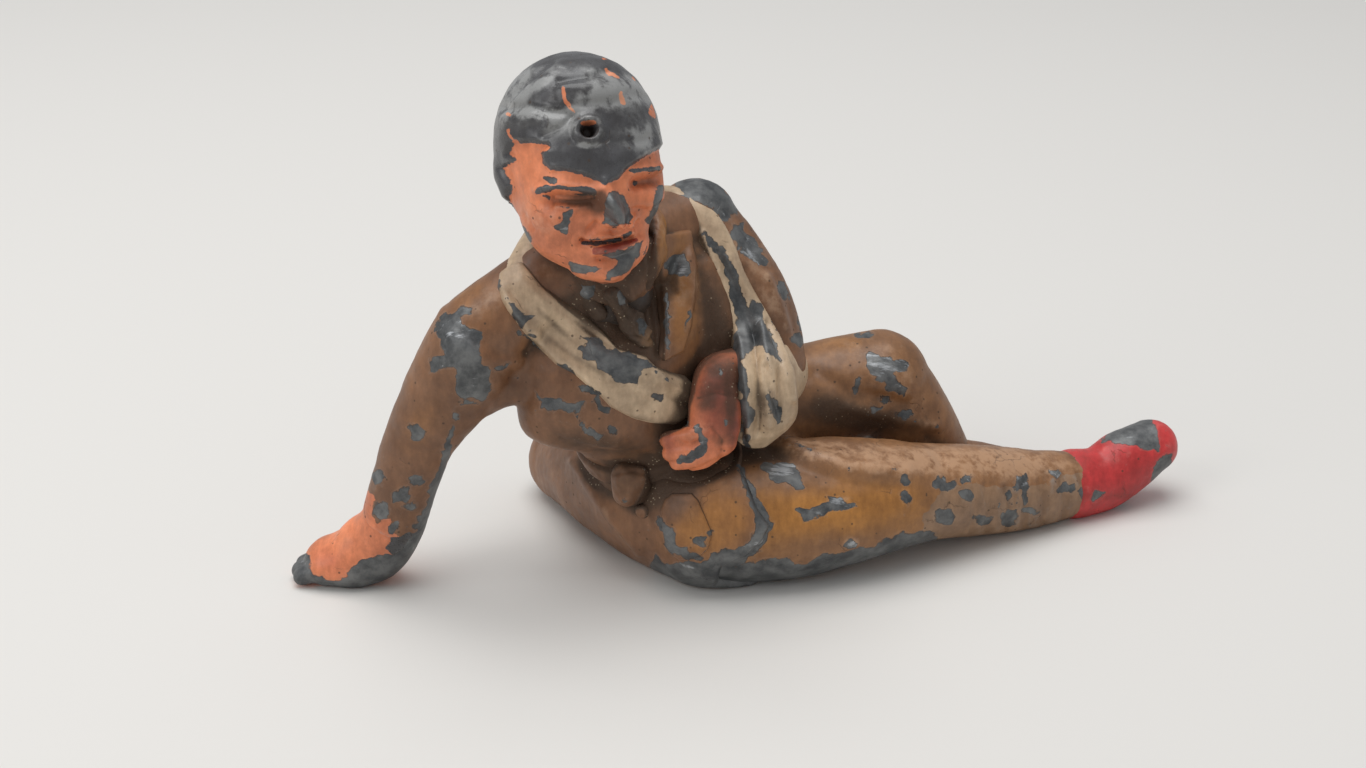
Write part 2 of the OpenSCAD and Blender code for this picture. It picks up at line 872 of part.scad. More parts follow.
module belt() {
    color(dark_brown)
        difference() {
            intersection() {
                torso(belt_proud);
                belt_slab(belt_height);
            }
            torso();
            body_over_belt();
        }
}

// Skirt of the tunic, which ends at a hem across the right thigh

skirt_share = 0.22;
skirt_hem = mix(right_hip, [right_knee[0], right_knee[1], 0], skirt_share);
skirt_dir = [right_knee[0] - right_hip[0], right_knee[1] - right_hip[1], 0];

module skirt_solid(grow) {
    intersection() {
        union() {
            torso(grow);
            right_thigh_form(grow);
        }
        beyond(skirt_hem, -skirt_dir);
        beyond(belt_at - unit(waist_dir) * (belt_height / 2), -waist_dir);
    }
}

module tunic_skirt() {
    color(tunic_brown)
        above_ground()
            difference() {
                skirt_solid(skirt_proud);
                torso();
                right_thigh_form();
                left_thigh_form();
                left_hand_form();
                cradle_form();
                disc_clear();
                crotch_clear();
            }
}

// Clears the scrap of cloth left between the two thighs
module crotch_clear() {
    translate(seat_mid + [thigh_d * 0.46, thigh_d * 0.13, seat_height * 0.1])
        cylinder(d = thigh_d * 0.6, h = seat_height * 0.7);
}

// A frame on a surface: Z stands square to it, turned and raised, and Y runs up it
module facing(at, turn, rise) {
    translate(at)
        rotate([90 - rise, 0, turn + 90])
            children();
}

module rounded_plate(w, h, t, corner) {
    hull()
        for (x = [-1, 1], y = [-1, 1])
            translate([x * (w / 2 - corner), y * (h / 2 - corner), -t])
                cylinder(h = 2 * t, r = corner);
}

pocket_width = 2.8;
pocket_height = 3.6;
pocket_proud = 0.3;
pocket_at = right_hip + seat_height * [-0.16, -0.42, 0.6];
pocket_turn = -104;
pocket_angle = 22;

module tunic_pocket() {
    color(tunic_brown)
        difference() {
            intersection() {
                skirt_solid(skirt_proud + pocket_proud);
                facing(pocket_at, pocket_turn, pocket_angle)
                    rounded_plate(pocket_width, pocket_height, pocket_width, pocket_width * 0.16);
            }
            skirt_solid(skirt_proud);
            torso();
            right_thigh_form();
        }
}

pouch_at = waist_at + waist_depth * [-0.16, -0.5, -0.21];
pouch_proud = 0.7;
pouch_turn = -100;

module pouch_form() {
    facing(pouch_at, pouch_turn, 0)
        hull()
            for (x = [-1, 1], y = [-1, 1], z = [-1, 1])
                translate([x * pouch_width * 0.3, y * pouch_height * 0.32, z * pouch_proud])
                    scale([pouch_width * 0.2, pouch_height * 0.18, pouch_proud * 0.7])
                        sphere(1);
}

module belt_pouch() {
    color(dark_brown)
        difference() {
            pouch_form();
            torso(skirt_proud);
            skirt_solid(skirt_proud);
            torso(belt_proud);
            left_hand_form();
        }
}

button_d = 0.9;
button_proud = 0.3;
button_at = right_hip + seat_height * [-0.39, -0.3, 0.56];
button_turn = -130;

module tunic_button() {
    color(bare_metal)
        difference() {
            intersection() {
                skirt_solid(skirt_proud + button_proud);
                facing(button_at, button_turn, 0)
                    cylinder(h = 4 * button_d, d = button_d, center = true);
            }
            skirt_solid(skirt_proud);
            torso();
            pouch_form();
        }
}

module body_over_belt() {
    left_hand_form();
    cradle_form();
    right_thigh_form();
    left_thigh_form();
    chain(left_arm);
}

head();
hair();
collar();
tie();
tunic_body();
tunic_lapel();
right_sleeve();
right_hand();
left_sleeve();
left_hand();
sling_strap_right();
sling_strap_left();
sling_cradle();
belt();
belt_pouch();
tunic_button();
tunic_skirt();
tunic_pocket();
breeches_seat();
right_thigh();
left_thigh();
right_puttee();
left_puttee();
right_boot();
left_boot();
rest_disc();
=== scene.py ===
import math
import bpy
import numpy as np
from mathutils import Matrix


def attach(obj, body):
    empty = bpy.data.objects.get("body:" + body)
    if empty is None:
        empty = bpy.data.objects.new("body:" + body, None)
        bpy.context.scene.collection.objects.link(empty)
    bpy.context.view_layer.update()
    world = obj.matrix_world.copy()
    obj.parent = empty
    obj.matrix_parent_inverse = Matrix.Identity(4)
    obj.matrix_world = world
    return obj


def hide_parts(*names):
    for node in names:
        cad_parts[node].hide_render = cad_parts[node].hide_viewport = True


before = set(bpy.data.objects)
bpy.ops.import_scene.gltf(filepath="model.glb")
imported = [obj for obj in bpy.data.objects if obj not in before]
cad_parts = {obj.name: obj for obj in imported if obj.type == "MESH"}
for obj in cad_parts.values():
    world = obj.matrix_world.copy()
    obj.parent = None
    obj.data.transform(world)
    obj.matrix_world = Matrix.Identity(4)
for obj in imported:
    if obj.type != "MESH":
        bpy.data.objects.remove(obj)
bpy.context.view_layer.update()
print("frame loaded")

# Lengths below are in millimetres of the part's frame; objects are made in metres.
mm = 0.001

# The sculptor's view: a fixed point in front of the figure, looking down at it. Outlines of dress,
# folds and worn paint are drawn in this view, across and down, and carried onto the surface.
view = {
    "eye": (-0.5, -112.15, 60.62),
    "drop": 24.0,
    "spread": 1984.0,
    "middle": (683.0, 384.0),
    "perMm": 16.5,
}


def sight(points):
    # u = u0 + spread * x' / z', v = v0 - spread * y' / z', with x' y' z' the point seen from the eye
    drop = math.radians(view["drop"])
    ahead = np.array([0, math.cos(drop), -math.sin(drop)])
    above = np.array([0, math.sin(drop), math.cos(drop)])
    d = points - np.array(view["eye"])
    depth = d @ ahead
    u = view["middle"][0] + view["spread"] * d[:, 0] / depth
    v = view["middle"][1] - view["spread"] * (d @ above) / depth
    return np.stack([u, v], 1)


def smoothStep(x, low, high):
    # 3t^2 - 2t^3, with t the share of the way from low to high
    t = np.clip((x - low) / (high - low), 0, 1)
    return t * t * (3 - 2 * t)


def segmentDistance(q, a, b):
    # distance from q to the segment a-b, and the share of the way along it
    ab = b - a
    t = np.clip(((q - a) @ ab) / max(ab @ ab, 1e-9), 0, 1)
    return np.linalg.norm(q - a - t[:, None] * ab, axis=1), t


def pathOf(numbers):
    # across, down, across, down as points of the view
    return np.reshape(numbers, (-1, 2)).astype(float)


def inside(uv, outline):
    # signed distance to a closed outline in the view, in millimetres, positive inside
    p = pathOf(outline)
    best = np.full(len(uv), 1e9)
    crossings = np.zeros(len(uv), int)
    for a, b in zip(p, np.roll(p, -1, 0)):
        best = np.minimum(best, segmentDistance(uv, a, b)[0])
        over = (a[1] > uv[:, 1]) != (b[1] > uv[:, 1])
        rise = b[1] - a[1] if abs(b[1] - a[1]) > 1e-9 else 1e-9
        crossings += over & (uv[:, 0] < (b[0] - a[0]) * (uv[:, 1] - a[1]) / rise + a[0])
    return np.where(crossings % 2 == 1, best, -best) / view["perMm"]


def stroke(uv, path, width):
    # signed distance to a stroke of the given half widths in the view, in millimetres, positive inside
    p = pathOf(path)
    w = np.broadcast_to(np.asarray(width, float), len(p))
    best = np.full(len(uv), -1e9)
    for i in range(len(p) - 1):
        d, t = segmentDistance(uv, p[i], p[i + 1])
        best = np.maximum(best, w[i] + (w[i + 1] - w[i]) * t - d)
    return best / view["perMm"]


def ellipse(uv, x, y, a, b, turn=0):
    # x' = (dx cos t + dy sin t) / a, y' = (dy cos t - dx sin t) / b about the middle of an ellipse in the view
    c, s = math.cos(math.radians(turn)), math.sin(math.radians(turn))
    d = uv - np.array([x, y], float)
    return (d[:, 0] * c + d[:, 1] * s) / a, (d[:, 1] * c - d[:, 0] * s) / b


def spot(uv, x, y, a, b, turn=0):
    # signed distance to an ellipse in the view, in millimetres, positive inside
    return (1 - np.sqrt(sum(k ** 2 for k in ellipse(uv, x, y, a, b, turn)))) * min(a, b) / view["perMm"]


def mound(uv, x, y, a, b, height, turn=0):
    # h = height exp(-r^2) over an ellipse in the view
    return height * np.exp(-sum(k ** 2 for k in ellipse(uv, x, y, a, b, turn)))


def ridge(uv, path, half, height):
    # h = height exp(-(d / half)^2) about a path in the view
    p = pathOf(path)
    d = np.min([segmentDistance(uv, a, b)[0] for a, b in zip(p[:-1], p[1:])], axis=0)
    return height * np.exp(-(d / half) ** 2)


def onCurve(knots, samples):
    # Catmull-Rom: p = b + (c-a)t/2 + (2a-5b+4c-d)t^2/2 + (3b-a-3c+d)t^3/2
    k = np.asarray(knots, float)
    x = np.linspace(0, len(k) - 1, samples)
    i = np.minimum(x.astype(int), len(k) - 2)
    t = (x - i)[:, None]
    a, b, c = k[np.maximum(i - 1, 0)], k[i], k[i + 1]
    d = k[np.minimum(i + 2, len(k) - 1)]
    return b + (c - a) * t / 2 + (2 * a - 5 * b + 4 * c - d) * t ** 2 / 2 + (3 * b - a - 3 * c + d) * t ** 3 / 2


def unit(v):
    # v / |v|
    return v / np.maximum(np.linalg.norm(v, axis=-1, keepdims=True), 1e-12)


def gridFaces(rows, columns, closed=True):
    # quads of a grid of rows by columns, closed round the columns
    i = np.arange(rows - 1)[:, None]
    j = np.arange(columns if closed else columns - 1)[None, :]
    k = (j + 1) % columns
    return np.stack([i * columns + j, i * columns + k, (i + 1) * columns + k, (i + 1) * columns + j], -1).reshape(-1, 4)


def limb(stations, samples=60, sides=40, capShare=1.0, stiff=0.0):
    # p(s, a) = c(s) + L(s) (cos a, sin a), L L^T = E^T A E, A = sum of r^2 along the station's axes,
    # with rounded ends p = c +- T h sin f, cross-section scaled by cos f; a station is x, y, z, one radius
    # or three, tilt and turn
    rows = [list(s) + [s[3], s[3], 0, 0] if len(s) == 4 else list(s) for s in stations]
    k = onCurve(rows, samples)
    c, r = k[:, :3], k[:, 3:6]
    tilt, turn = np.radians(k[:, 6]), np.radians(k[:, 7])
    ct, st, cz, sz = np.cos(tilt), np.sin(tilt), np.cos(turn), np.sin(turn)
    zero = np.zeros_like(ct)
    axes = np.stack([np.stack([cz * ct, sz * ct, -st], 1), np.stack([-sz, cz, zero], 1),
                     np.stack([cz * st, sz * st, ct], 1)], 1)
    forward = unit((1 - stiff) * unit(np.gradient(c, axis=0)) + stiff * unit(c[-1] - c[0]))
    helper = np.array([0.13, 0.27, 1.0])
    helper = helper if abs(unit(forward.mean(0)) @ unit(helper)) < 0.9 else np.array([1.0, 0.2, 0.1])
    e1 = unit(np.cross(forward, helper))
    e2 = np.cross(forward, e1)
    cap = np.linspace(0, 1, 9)[1:] * math.pi / 2

    def support(x, y):
        return np.einsum("ni,nai,na,naj,nj->n", x, axes, r ** 2, axes, y)

    m11, m12, m22 = support(e1, e1), support(e1, e2), support(e2, e2)
    l11 = np.sqrt(m11)
    l21 = m12 / l11
    l22 = np.sqrt(np.maximum(m22 - l21 ** 2, 1e-9))
    reachAlong = np.sqrt(support(forward, forward)) * capShare
    a = np.linspace(0, 2 * math.pi, sides, endpoint=False)
    ring = (e1[:, None] * (l11[:, None] * np.cos(a))[..., None]
            + e2[:, None] * (l21[:, None] * np.cos(a) + l22[:, None] * np.sin(a))[..., None])

    def ending(i, sign, angles):
        return c[i] + sign * forward[i] * (reachAlong[i] * np.sin(angles)) + ring[i] * np.cos(angles)

    p = np.concatenate([ending(0, -1, cap[::-1, None, None]), c[:, None] + ring, ending(-1, 1, cap[:, None, None])])
    return p.reshape(-1, 3), gridFaces(len(p), sides)


def meshFrom(name, verts, faces):
    # a valid mesh of the points and faces
    mesh = bpy.data.meshes.new(name)
    mesh.from_pydata(verts.tolist(), [], faces.tolist())
    mesh.validate()
    return mesh


def stand(name, data):
    # an object that shows the data in the scene
    obj = bpy.data.objects.new(name, data)
    bpy.context.scene.collection.objects.link(obj)
    return obj


def arraysOf(mesh):
    # the points and the quads of a mesh
    verts = np.empty(len(mesh.vertices) * 3)
    mesh.vertices.foreach_get("co", verts)
    mesh.calc_loop_triangles()
    sizes = np.empty(len(mesh.polygons), int)
    mesh.polygons.foreach_get("loop_total", sizes)
    starts = np.empty(len(mesh.polygons), int)
    mesh.polygons.foreach_get("loop_start", starts)
    loops = np.empty(len(mesh.loops), int)
    mesh.loops.foreach_get("vertex_index", loops)
    quads = starts[sizes == 4][:, None] + np.arange(4)
    return verts.reshape(-1, 3), loops[quads]


def blend(parts, voxel):
    # one skin round several overlapping surfaces
    verts = np.concatenate([p[0] for p in parts])
    shifts = np.cumsum([0] + [len(p[0]) for p in parts[:-1]])
    faces = np.concatenate([p[1] + s for p, s in zip(parts, shifts)])
    mesh = meshFrom("blendSource", verts, faces)
    temp = stand("blendSource", mesh)
    skin = temp.modifiers.new("skin", "REMESH")
    skin.mode = "VOXEL"
    skin.voxel_size = voxel
    skin.adaptivity = 0
    graph = bpy.context.evaluated_depsgraph_get()
    done = bpy.data.meshes.new_from_object(temp.evaluated_get(graph))
    out = arraysOf(done)
    bpy.data.objects.remove(temp)
    bpy.data.meshes.remove(mesh)
    bpy.data.meshes.remove(done)
    return out


def sidesOf(faces):
    # the four sides of every quad, as pairs of points
    return np.concatenate([faces[:, [i, (i + 1) % 4]] for i in range(4)])


def edgesOf(faces):
    # each edge once
    return np.unique(np.sort(sidesOf(faces), 1), axis=0)


def spread(values, edges, rounds, share=0.5):
    # each value moves towards the mean of its neighbours, round after round
    n = len(values)
    count = np.bincount(edges.ravel(), minlength=n).astype(float)
    flat = values.reshape(n, -1).astype(float).copy()
    for _ in range(rounds):
        for k in range(flat.shape[1]):
            x = flat[:, k]
            total = np.bincount(edges[:, 0], x[edges[:, 1]], n) + np.bincount(edges[:, 1], x[edges[:, 0]], n)
            flat[:, k] = x + share * (total / np.maximum(count, 1) - x)
    return flat.reshape(values.shape)


# Rounds and steps of the smoothing; number of waves and their sizes as shares of the given size
smoothSet = {"rounds": 6, "inward": 0.5, "outward": -0.52}
waveSet = {"count": 12, "shares": (0.6, 1.7)}


def relax(verts, edges, rounds):
    # smoothing that keeps the volume: one step in, one slightly larger step out
    for _ in range(rounds):
        verts = spread(spread(verts, edges, 1, smoothSet["inward"]), edges, 1, smoothSet["outward"])
    return verts


def normalsOf(verts, faces):
    # the sum of the cross products of the diagonals of the quads around a point
    cross = np.cross(verts[faces[:, 2]] - verts[faces[:, 0]], verts[faces[:, 3]] - verts[faces[:, 1]])
    n = np.zeros_like(verts)
    for i in range(4):
        for k in range(3):
            n[:, k] += np.bincount(faces[:, i], cross[:, k], len(verts))
    return unit(n)


def unevenness(points, height, size, seed):
    # h = height / (n / 2) * sum sin(k . p + f), n waves of mixed direction about the given size
    rng = np.random.default_rng(seed)
    total = np.zeros(len(points))
    for _ in range(waveSet["count"]):
        k = unit(rng.normal(size=points.shape[1])) * 2 * math.pi / (size * rng.uniform(*waveSet["shares"]))
        total += np.sin(points @ k + rng.uniform(0, 2 * math.pi))
    return total * height / (waveSet["count"] / 2)


def wavering(uv, amount, size, seed):
    # the same in the view, for outlines that run unevenly
    return uv + np.stack([unevenness(uv, amount, size, seed), unevenness(uv, amount, size, seed + 1)], 1)


def asSkin(part, soften=1, rounds=0):
    # points and faces after smoothing, with edges, normals and the place of each point in the view
    verts, faces = part
    edges = edgesOf(faces)
    verts = relax(spread(verts, edges, soften), edges, rounds)
    return {"verts": verts, "faces": faces, "edges": edges, "normals": normalsOf(verts, faces), "uv": sight(verts)}


def skinOf(parts, voxel, soften):
    # several overlapping surfaces as one smooth skin
    return asSkin(blend(parts, voxel), soften, smoothSet["rounds"])


def lift(skin, height):
    # a copy of the skin, raised along its normals; it keeps the place of its points in the view
    verts = skin["verts"] + skin["normals"] * height[:, None]
    return {**skin, "verts": verts, "normals": normalsOf(verts, skin["faces"])}


# Unevenness of every piece and of its unseen side, as height, size and seed; how far outlines waver
castSet = {"all": [(0.035, 2.6, 0), (0.012, 0.8, 50)], "unseen": (0.1, 4.2, 90), "turned": (-0.3, 0.1),
           "waver": [(3.2, 26, 5), (1.6, 9, 9)], "far": -4.0}
pieces = []


def facing(points, normals):
    # cosine between the surface and the line to the eye
    return np.einsum("ni,ni->n", normals, unit(np.array(view["eye"]) - points))


def towards(skin):
    # the same for all points of a skin
    return facing(skin["verts"], skin["normals"])


def addPiece(name, skin, look, nodes, slot, marks):
    # a skin kept until all are there, with its paint marks
    coarse, fine, unseen = (unevenness(skin["verts"], height, size, len(pieces) + seed)
                            for height, size, seed in (*castSet["all"], castSet["unseen"]))
    h = coarse + fine + unseen * (1 - smoothStep(towards(skin), *castSet["turned"]))
    skin = grounded(lift(skin, h))
    pieces.append({"name": name, "skin": skin, "look": look, "nodes": nodes, "slot": slot, "marks": marks})
    print("shaped", name, len(skin["verts"]), "points")


def markField(uv, marks):
    # the largest of several signed distances in the view, in millimetres, with wavering outlines
    for amount, size, seed in castSet["waver"]:
        uv = wavering(uv, amount * marks.get("waver", 1.0), size, seed)
    fields = [inside(uv, row) for row in marks.get("outlines", ())]
    fields += [stroke(uv, *row) for row in marks.get("strokes", ())]
    fields += [spot(uv, *row) for row in marks.get("spots", ())]
    return np.maximum(np.max(fields, axis=0), castSet["far"])


def softField(uv, mounds):
    # the sum of several mounds in the view
    return sum((mound(uv, *row) for row in mounds), np.zeros(len(uv)))


def refine(verts, normals, faces):
    # each quad becomes four, through the middles of its edges
    n = len(verts)
    pairs, index = np.unique(np.sort(sidesOf(faces), 1), axis=0, return_inverse=True)
    mids = index.reshape(4, -1).T + n
    centres = np.arange(len(faces)) + n + len(pairs)
    quads = [np.stack([faces[:, i], mids[:, i], centres, mids[:, (i + 3) % 4]], 1) for i in range(4)]
    verts, normals = (np.concatenate([x, x[pairs].mean(1), x[faces].mean(1)]) for x in (verts, normals))
    return verts, unit(normals), np.concatenate(quads)


def sheet(skin, heightOf, sink=0.15, depth=0.4, fine=1, margin=0.5):
    # a closed sheet on a skin: q = p + n h where h > -sink, backed by p - n depth
    rough = heightOf(skin["verts"], skin["normals"], skin["uv"])
    faces = skin["faces"][(rough[skin["faces"]] > -margin).any(1)]
    used, index = np.unique(faces, return_inverse=True)
    verts, normals, faces = skin["verts"][used], skin["normals"][used], index.reshape(-1, 4)
    for _ in range(fine):
        verts, normals, faces = refine(verts, normals, faces)
    h = heightOf(verts, normals, sight(verts))
    faces = faces[(h[faces] > -sink).any(1)]
    used, index = np.unique(faces, return_inverse=True)
    verts, normals, h, faces = verts[used], normals[used], h[used], index.reshape(-1, 4)
    n = len(verts)
    e = sidesOf(faces)
    rim = e[~np.isin(e[:, 0] * n + e[:, 1], e[:, 1] * n + e[:, 0])]
    side = np.stack([rim[:, 1], rim[:, 0], rim[:, 0] + n, rim[:, 1] + n], 1)
    outer = verts + normals * np.maximum(h, -sink)[:, None]
    return np.concatenate([outer, verts - normals * depth]), np.concatenate([faces, faces[:, ::-1] + n, side])


def ledge(d, rise, width):
    # h = rise sqrt(1 - (1 - d/width)^2) inside, falling away outside
    t = np.clip(d / width, 0, 1)
    return np.where(d > 0, rise * np.sqrt(1 - (1 - t) ** 2), d)


def reliefOf(skin, settings):
    # the sum of ridges and mounds on the side towards the view
    h = np.zeros(len(skin["verts"]))
    for path, half, height in settings.get("ridges", ()):
        h += ridge(skin["uv"], path, half, height)
    for row in settings.get("mounds", ()):
        h += mound(skin["uv"], *row)
    return h * smoothStep(towards(skin), 0.0, 0.25)


def roughRelief(skin, settings):
    # relief and unevenness together
    return sum((unevenness(skin["verts"], *row) for row in settings["rough"]), reliefOf(skin, settings))


def outlined(settings):
    # a sheet inside an outline in the view: h = base + ledge, on the side towards the eye
    def heightOf(points, normals, uv):
        d = np.minimum(inside(uv, settings["outline"]), (facing(points, normals) - settings["away"]) * 3)
        base = settings.get("base", 0)
        raised = base + ledge(d, settings["rise"] - base, settings["round"])
        return np.where(d > 0, raised, d * settings.get("fall", 1))

    return heightOf


def limbsOf(settings):
    # a limb for each row of "limbs": samples, sides, length of the round ends, stiffness
    return [limb(settings[name], *row) for name, row in settings["limbs"].items()]


def grounded(skin):
    # nothing below the ground: z = max(z, 0)
    skin["verts"][:, 2] = np.maximum(skin["verts"][:, 2], 0)
    return skin


# How the chest and the seat are turned, in degrees
chestTilt, chestTurn, seatTurn = -14, 35, 131.49

# Tunic: chest, shoulders and both sleeves in one skin
tunicSet = {
    "skin": (0.125, 12), "opening": (640, 320, 60, 48, 1.0), "crust": (0.1, 1.1, 71),
    "limbs": {"trunk": (90, 64, 1.0, 1.0), "yoke": (), "rightArm": (70, 44, 0.4), "leftArm": (), "flank": (),
              "armpit": ()},
    "trunk": [
        [-1.74, -0.87, 4.3, 4.7, 4.1, 3.4, 0, seatTurn], [-2.2, -1.5, 8.2, 4.8, 4.2, 2.58, 0, chestTurn],
        [-3.0, -2.3, 10.2, 5.3, 4.25, 2.8, -7, chestTurn], [-4.22, -3.13, 12.2, 6.8, 4.3, 3.09, chestTilt, chestTurn],
        [-4.36, -3.39, 15.62, 7.05, 4.3, 3.09, chestTilt, chestTurn],
        [-5.66, -2.65, 18.04, 6.62, 3.44, 2.35, chestTilt, chestTurn],
        [-5.44, -3.36, 20.24, 4.48, 3.36, 2.01, chestTilt, chestTurn],
    ],
    "yoke": [
        [-12.0, -7.01, 17.13, 2.53], [-8.5, -5.5, 19.69, 2.16], [-5, -4, 20.02, 2.8], [-2.38, -1.22, 20.58, 2.26],
        [0.23, 1.55, 20.85, 2.55],
    ],
    "rightArm": [
        [-12.0, -7.01, 16.81, 2.91], [-13.7, -6.9, 14.04, 2.7], [-15.75, -6.75, 10.65, 2.15],
        [-16.95, -6.35, 7.57, 2.02], [-17.95, -5.95, 4.5, 1.95],
    ],
    "armpit": [[-14.5, -6.84, 12.5, 1.83], [-11.0, -6.3, 14.15, 1.95], [-8.8, -5.7, 13.7, 1.9]],
    "flank": [[-0.4, -1.6, 18.6, 2.2], [0.6, -2.3, 15.6, 2.3], [0.6, -2.4, 12.6, 2.3]],
    "leftArm": [
        [0.23, 1.55, 20.53, 2.64], [3.26, 0.27, 16.56, 2.56], [4.75, -1, 12.6, 2.28], [3.6, -3.65, 12.8, 2.04],
    ],
    "ridges": [
        ([700, 200, 725, 235, 742, 262], 6, 0.16), ([735, 214, 750, 240, 764, 268], 6, -0.2),
        ([758, 255, 772, 290, 785, 325], 6, 0.16), ([772, 268, 788, 300, 798, 335], 5, -0.16),
        ([540, 412, 580, 430, 615, 440], 12, 0.16), ([470, 330, 500, 352, 520, 385], 11, -0.12),
        ([448, 408, 470, 418, 486, 410], 9, -0.12), ([433, 425, 452, 440, 458, 448], 9, 0.08),
        ([395, 440, 415, 452, 436, 456], 9, -0.08), ([652, 262, 655, 300, 660, 352], 5, -0.35),
        ([700, 255, 706, 300, 716, 350], 9, -0.35), ([560, 440, 600, 452, 650, 458], 5, -0.15),
    ],
    "mounds": [
        (590, 340, 60, 30, 0.15, 30), (560, 415, 30, 12, 0.12, 15), (606, 322, 9, 7, 0.16, 30),
        (592, 306, 8, 5, 0.14, 40), (646, 300, 4, 30, 0.2, -5), (622, 344, 7, 6, 0.14), (455, 350, 22, 26, 0.12),
        (520, 380, 30, 10, -0.12, 30), (430, 470, 12, 14, 0.1), (398, 470, 8, 14, -0.1, 20),
    ],
}
tunicLimbs = limbsOf(tunicSet)
tunicBase = skinOf(tunicLimbs, *tunicSet["skin"])
opening = mound(tunicBase["uv"], *tunicSet["opening"]) * smoothStep(towards(tunicBase), 0, 0.2)
crust = opening * unevenness(tunicBase["verts"], *tunicSet["crust"])
tunic = lift(tunicBase, reliefOf(tunicBase, tunicSet) + crust)
tunicMarks = {
    "bare": {
        "outlines": [
            [446, 312, 459, 308, 472, 307, 472, 312, 459, 318, 463, 325, 481, 332, 479, 356, 490, 370, 493, 389,
             484, 398, 470, 399, 455, 392, 457, 375, 452, 368, 441, 370, 431, 373, 431, 361, 442, 354, 443, 346,
             439, 333, 434, 328],
            [535, 389, 542, 399, 585, 403, 582, 412, 542, 409],
            [577, 413, 585, 425, 603, 436, 599, 441, 588, 437, 581, 426],
            [676, 182, 708, 176, 726, 188, 737, 210, 730, 222, 717, 214, 709, 203, 690, 199, 680, 196],
            [732, 226, 741, 224, 752, 240, 764, 250, 767, 267, 752, 261, 739, 250, 731, 238],
        ],
        "strokes": [
            ([581, 388, 599, 396], 2.5), ([595, 402, 608, 411], 2.5), ([520, 331, 545, 352], 1.5),
            ([452, 428, 446, 452, 440, 478, 432, 505, 424, 528], [2, 4, 5, 7, 9]),
        ],
        "spots": [
            (502, 368, 6, 3, -25), (469, 402, 4, 2), (455, 416, 3.5, 6), (415, 433, 8, 9), (612, 431, 5, 4),
            (378, 478, 5, 8), (416, 481, 9, 6), (402, 495, 10, 6), (410, 506, 6, 4), (382, 511, 8, 9),
            (393, 530, 6, 5), (400, 550, 4, 12), (784, 291, 5, 10, -20), (805, 325, 6, 10, -20),
            (797, 340, 6, 8, -20),
        ],
    },
    "second": {
        "outlines": [[368, 488, 381, 500, 373, 504, 374, 518, 378, 523, 385, 518, 391, 519, 387, 531, 402, 535,
                      386, 545, 330, 560, 330, 500]],
    },
    "tone": [(470, 300, 34, 26, 0.5), (425, 420, 22, 40, 0.35, 20), (690, 300, 16, 60, 0.7)],
    # painted shade in the chest opening, beside the lapel and below the belt, with some dirt
    "shade_and_dirt": [
        (610, 330, 48, 40, 1.1, 20), (600, 445, 70, 14, 0.9, 10), (655, 270, 14, 40, 0.9), (655, 300, 7, 60, 1.6),
        (722, 330, 16, 50, 0.8), (745, 270, 8, 30, 0.5, -30), (620, 322, 34, 30, 1.1, 30),
        (706, 305, 14, 55, 0.8, -5),
    ],
    # painted highlights on the sleeves and shoulders, with rubbed paint
    "highlight_and_rub": [
        (455, 330, 14, 14, 0.5), (482, 300, 30, 20, 0.6, -20), (768, 300, 10, 30, 0.6, -25),
        (560, 260, 60, 20, 0.5, -35), (750, 260, 14, 50, 0.6, -30), (380, 520, 14, 30, 0.2),
    ],
}
addPiece("tunic", tunic, "brown", ["tunic_body", "right_sleeve", "left_sleeve"], "tunic_paint", tunicMarks)

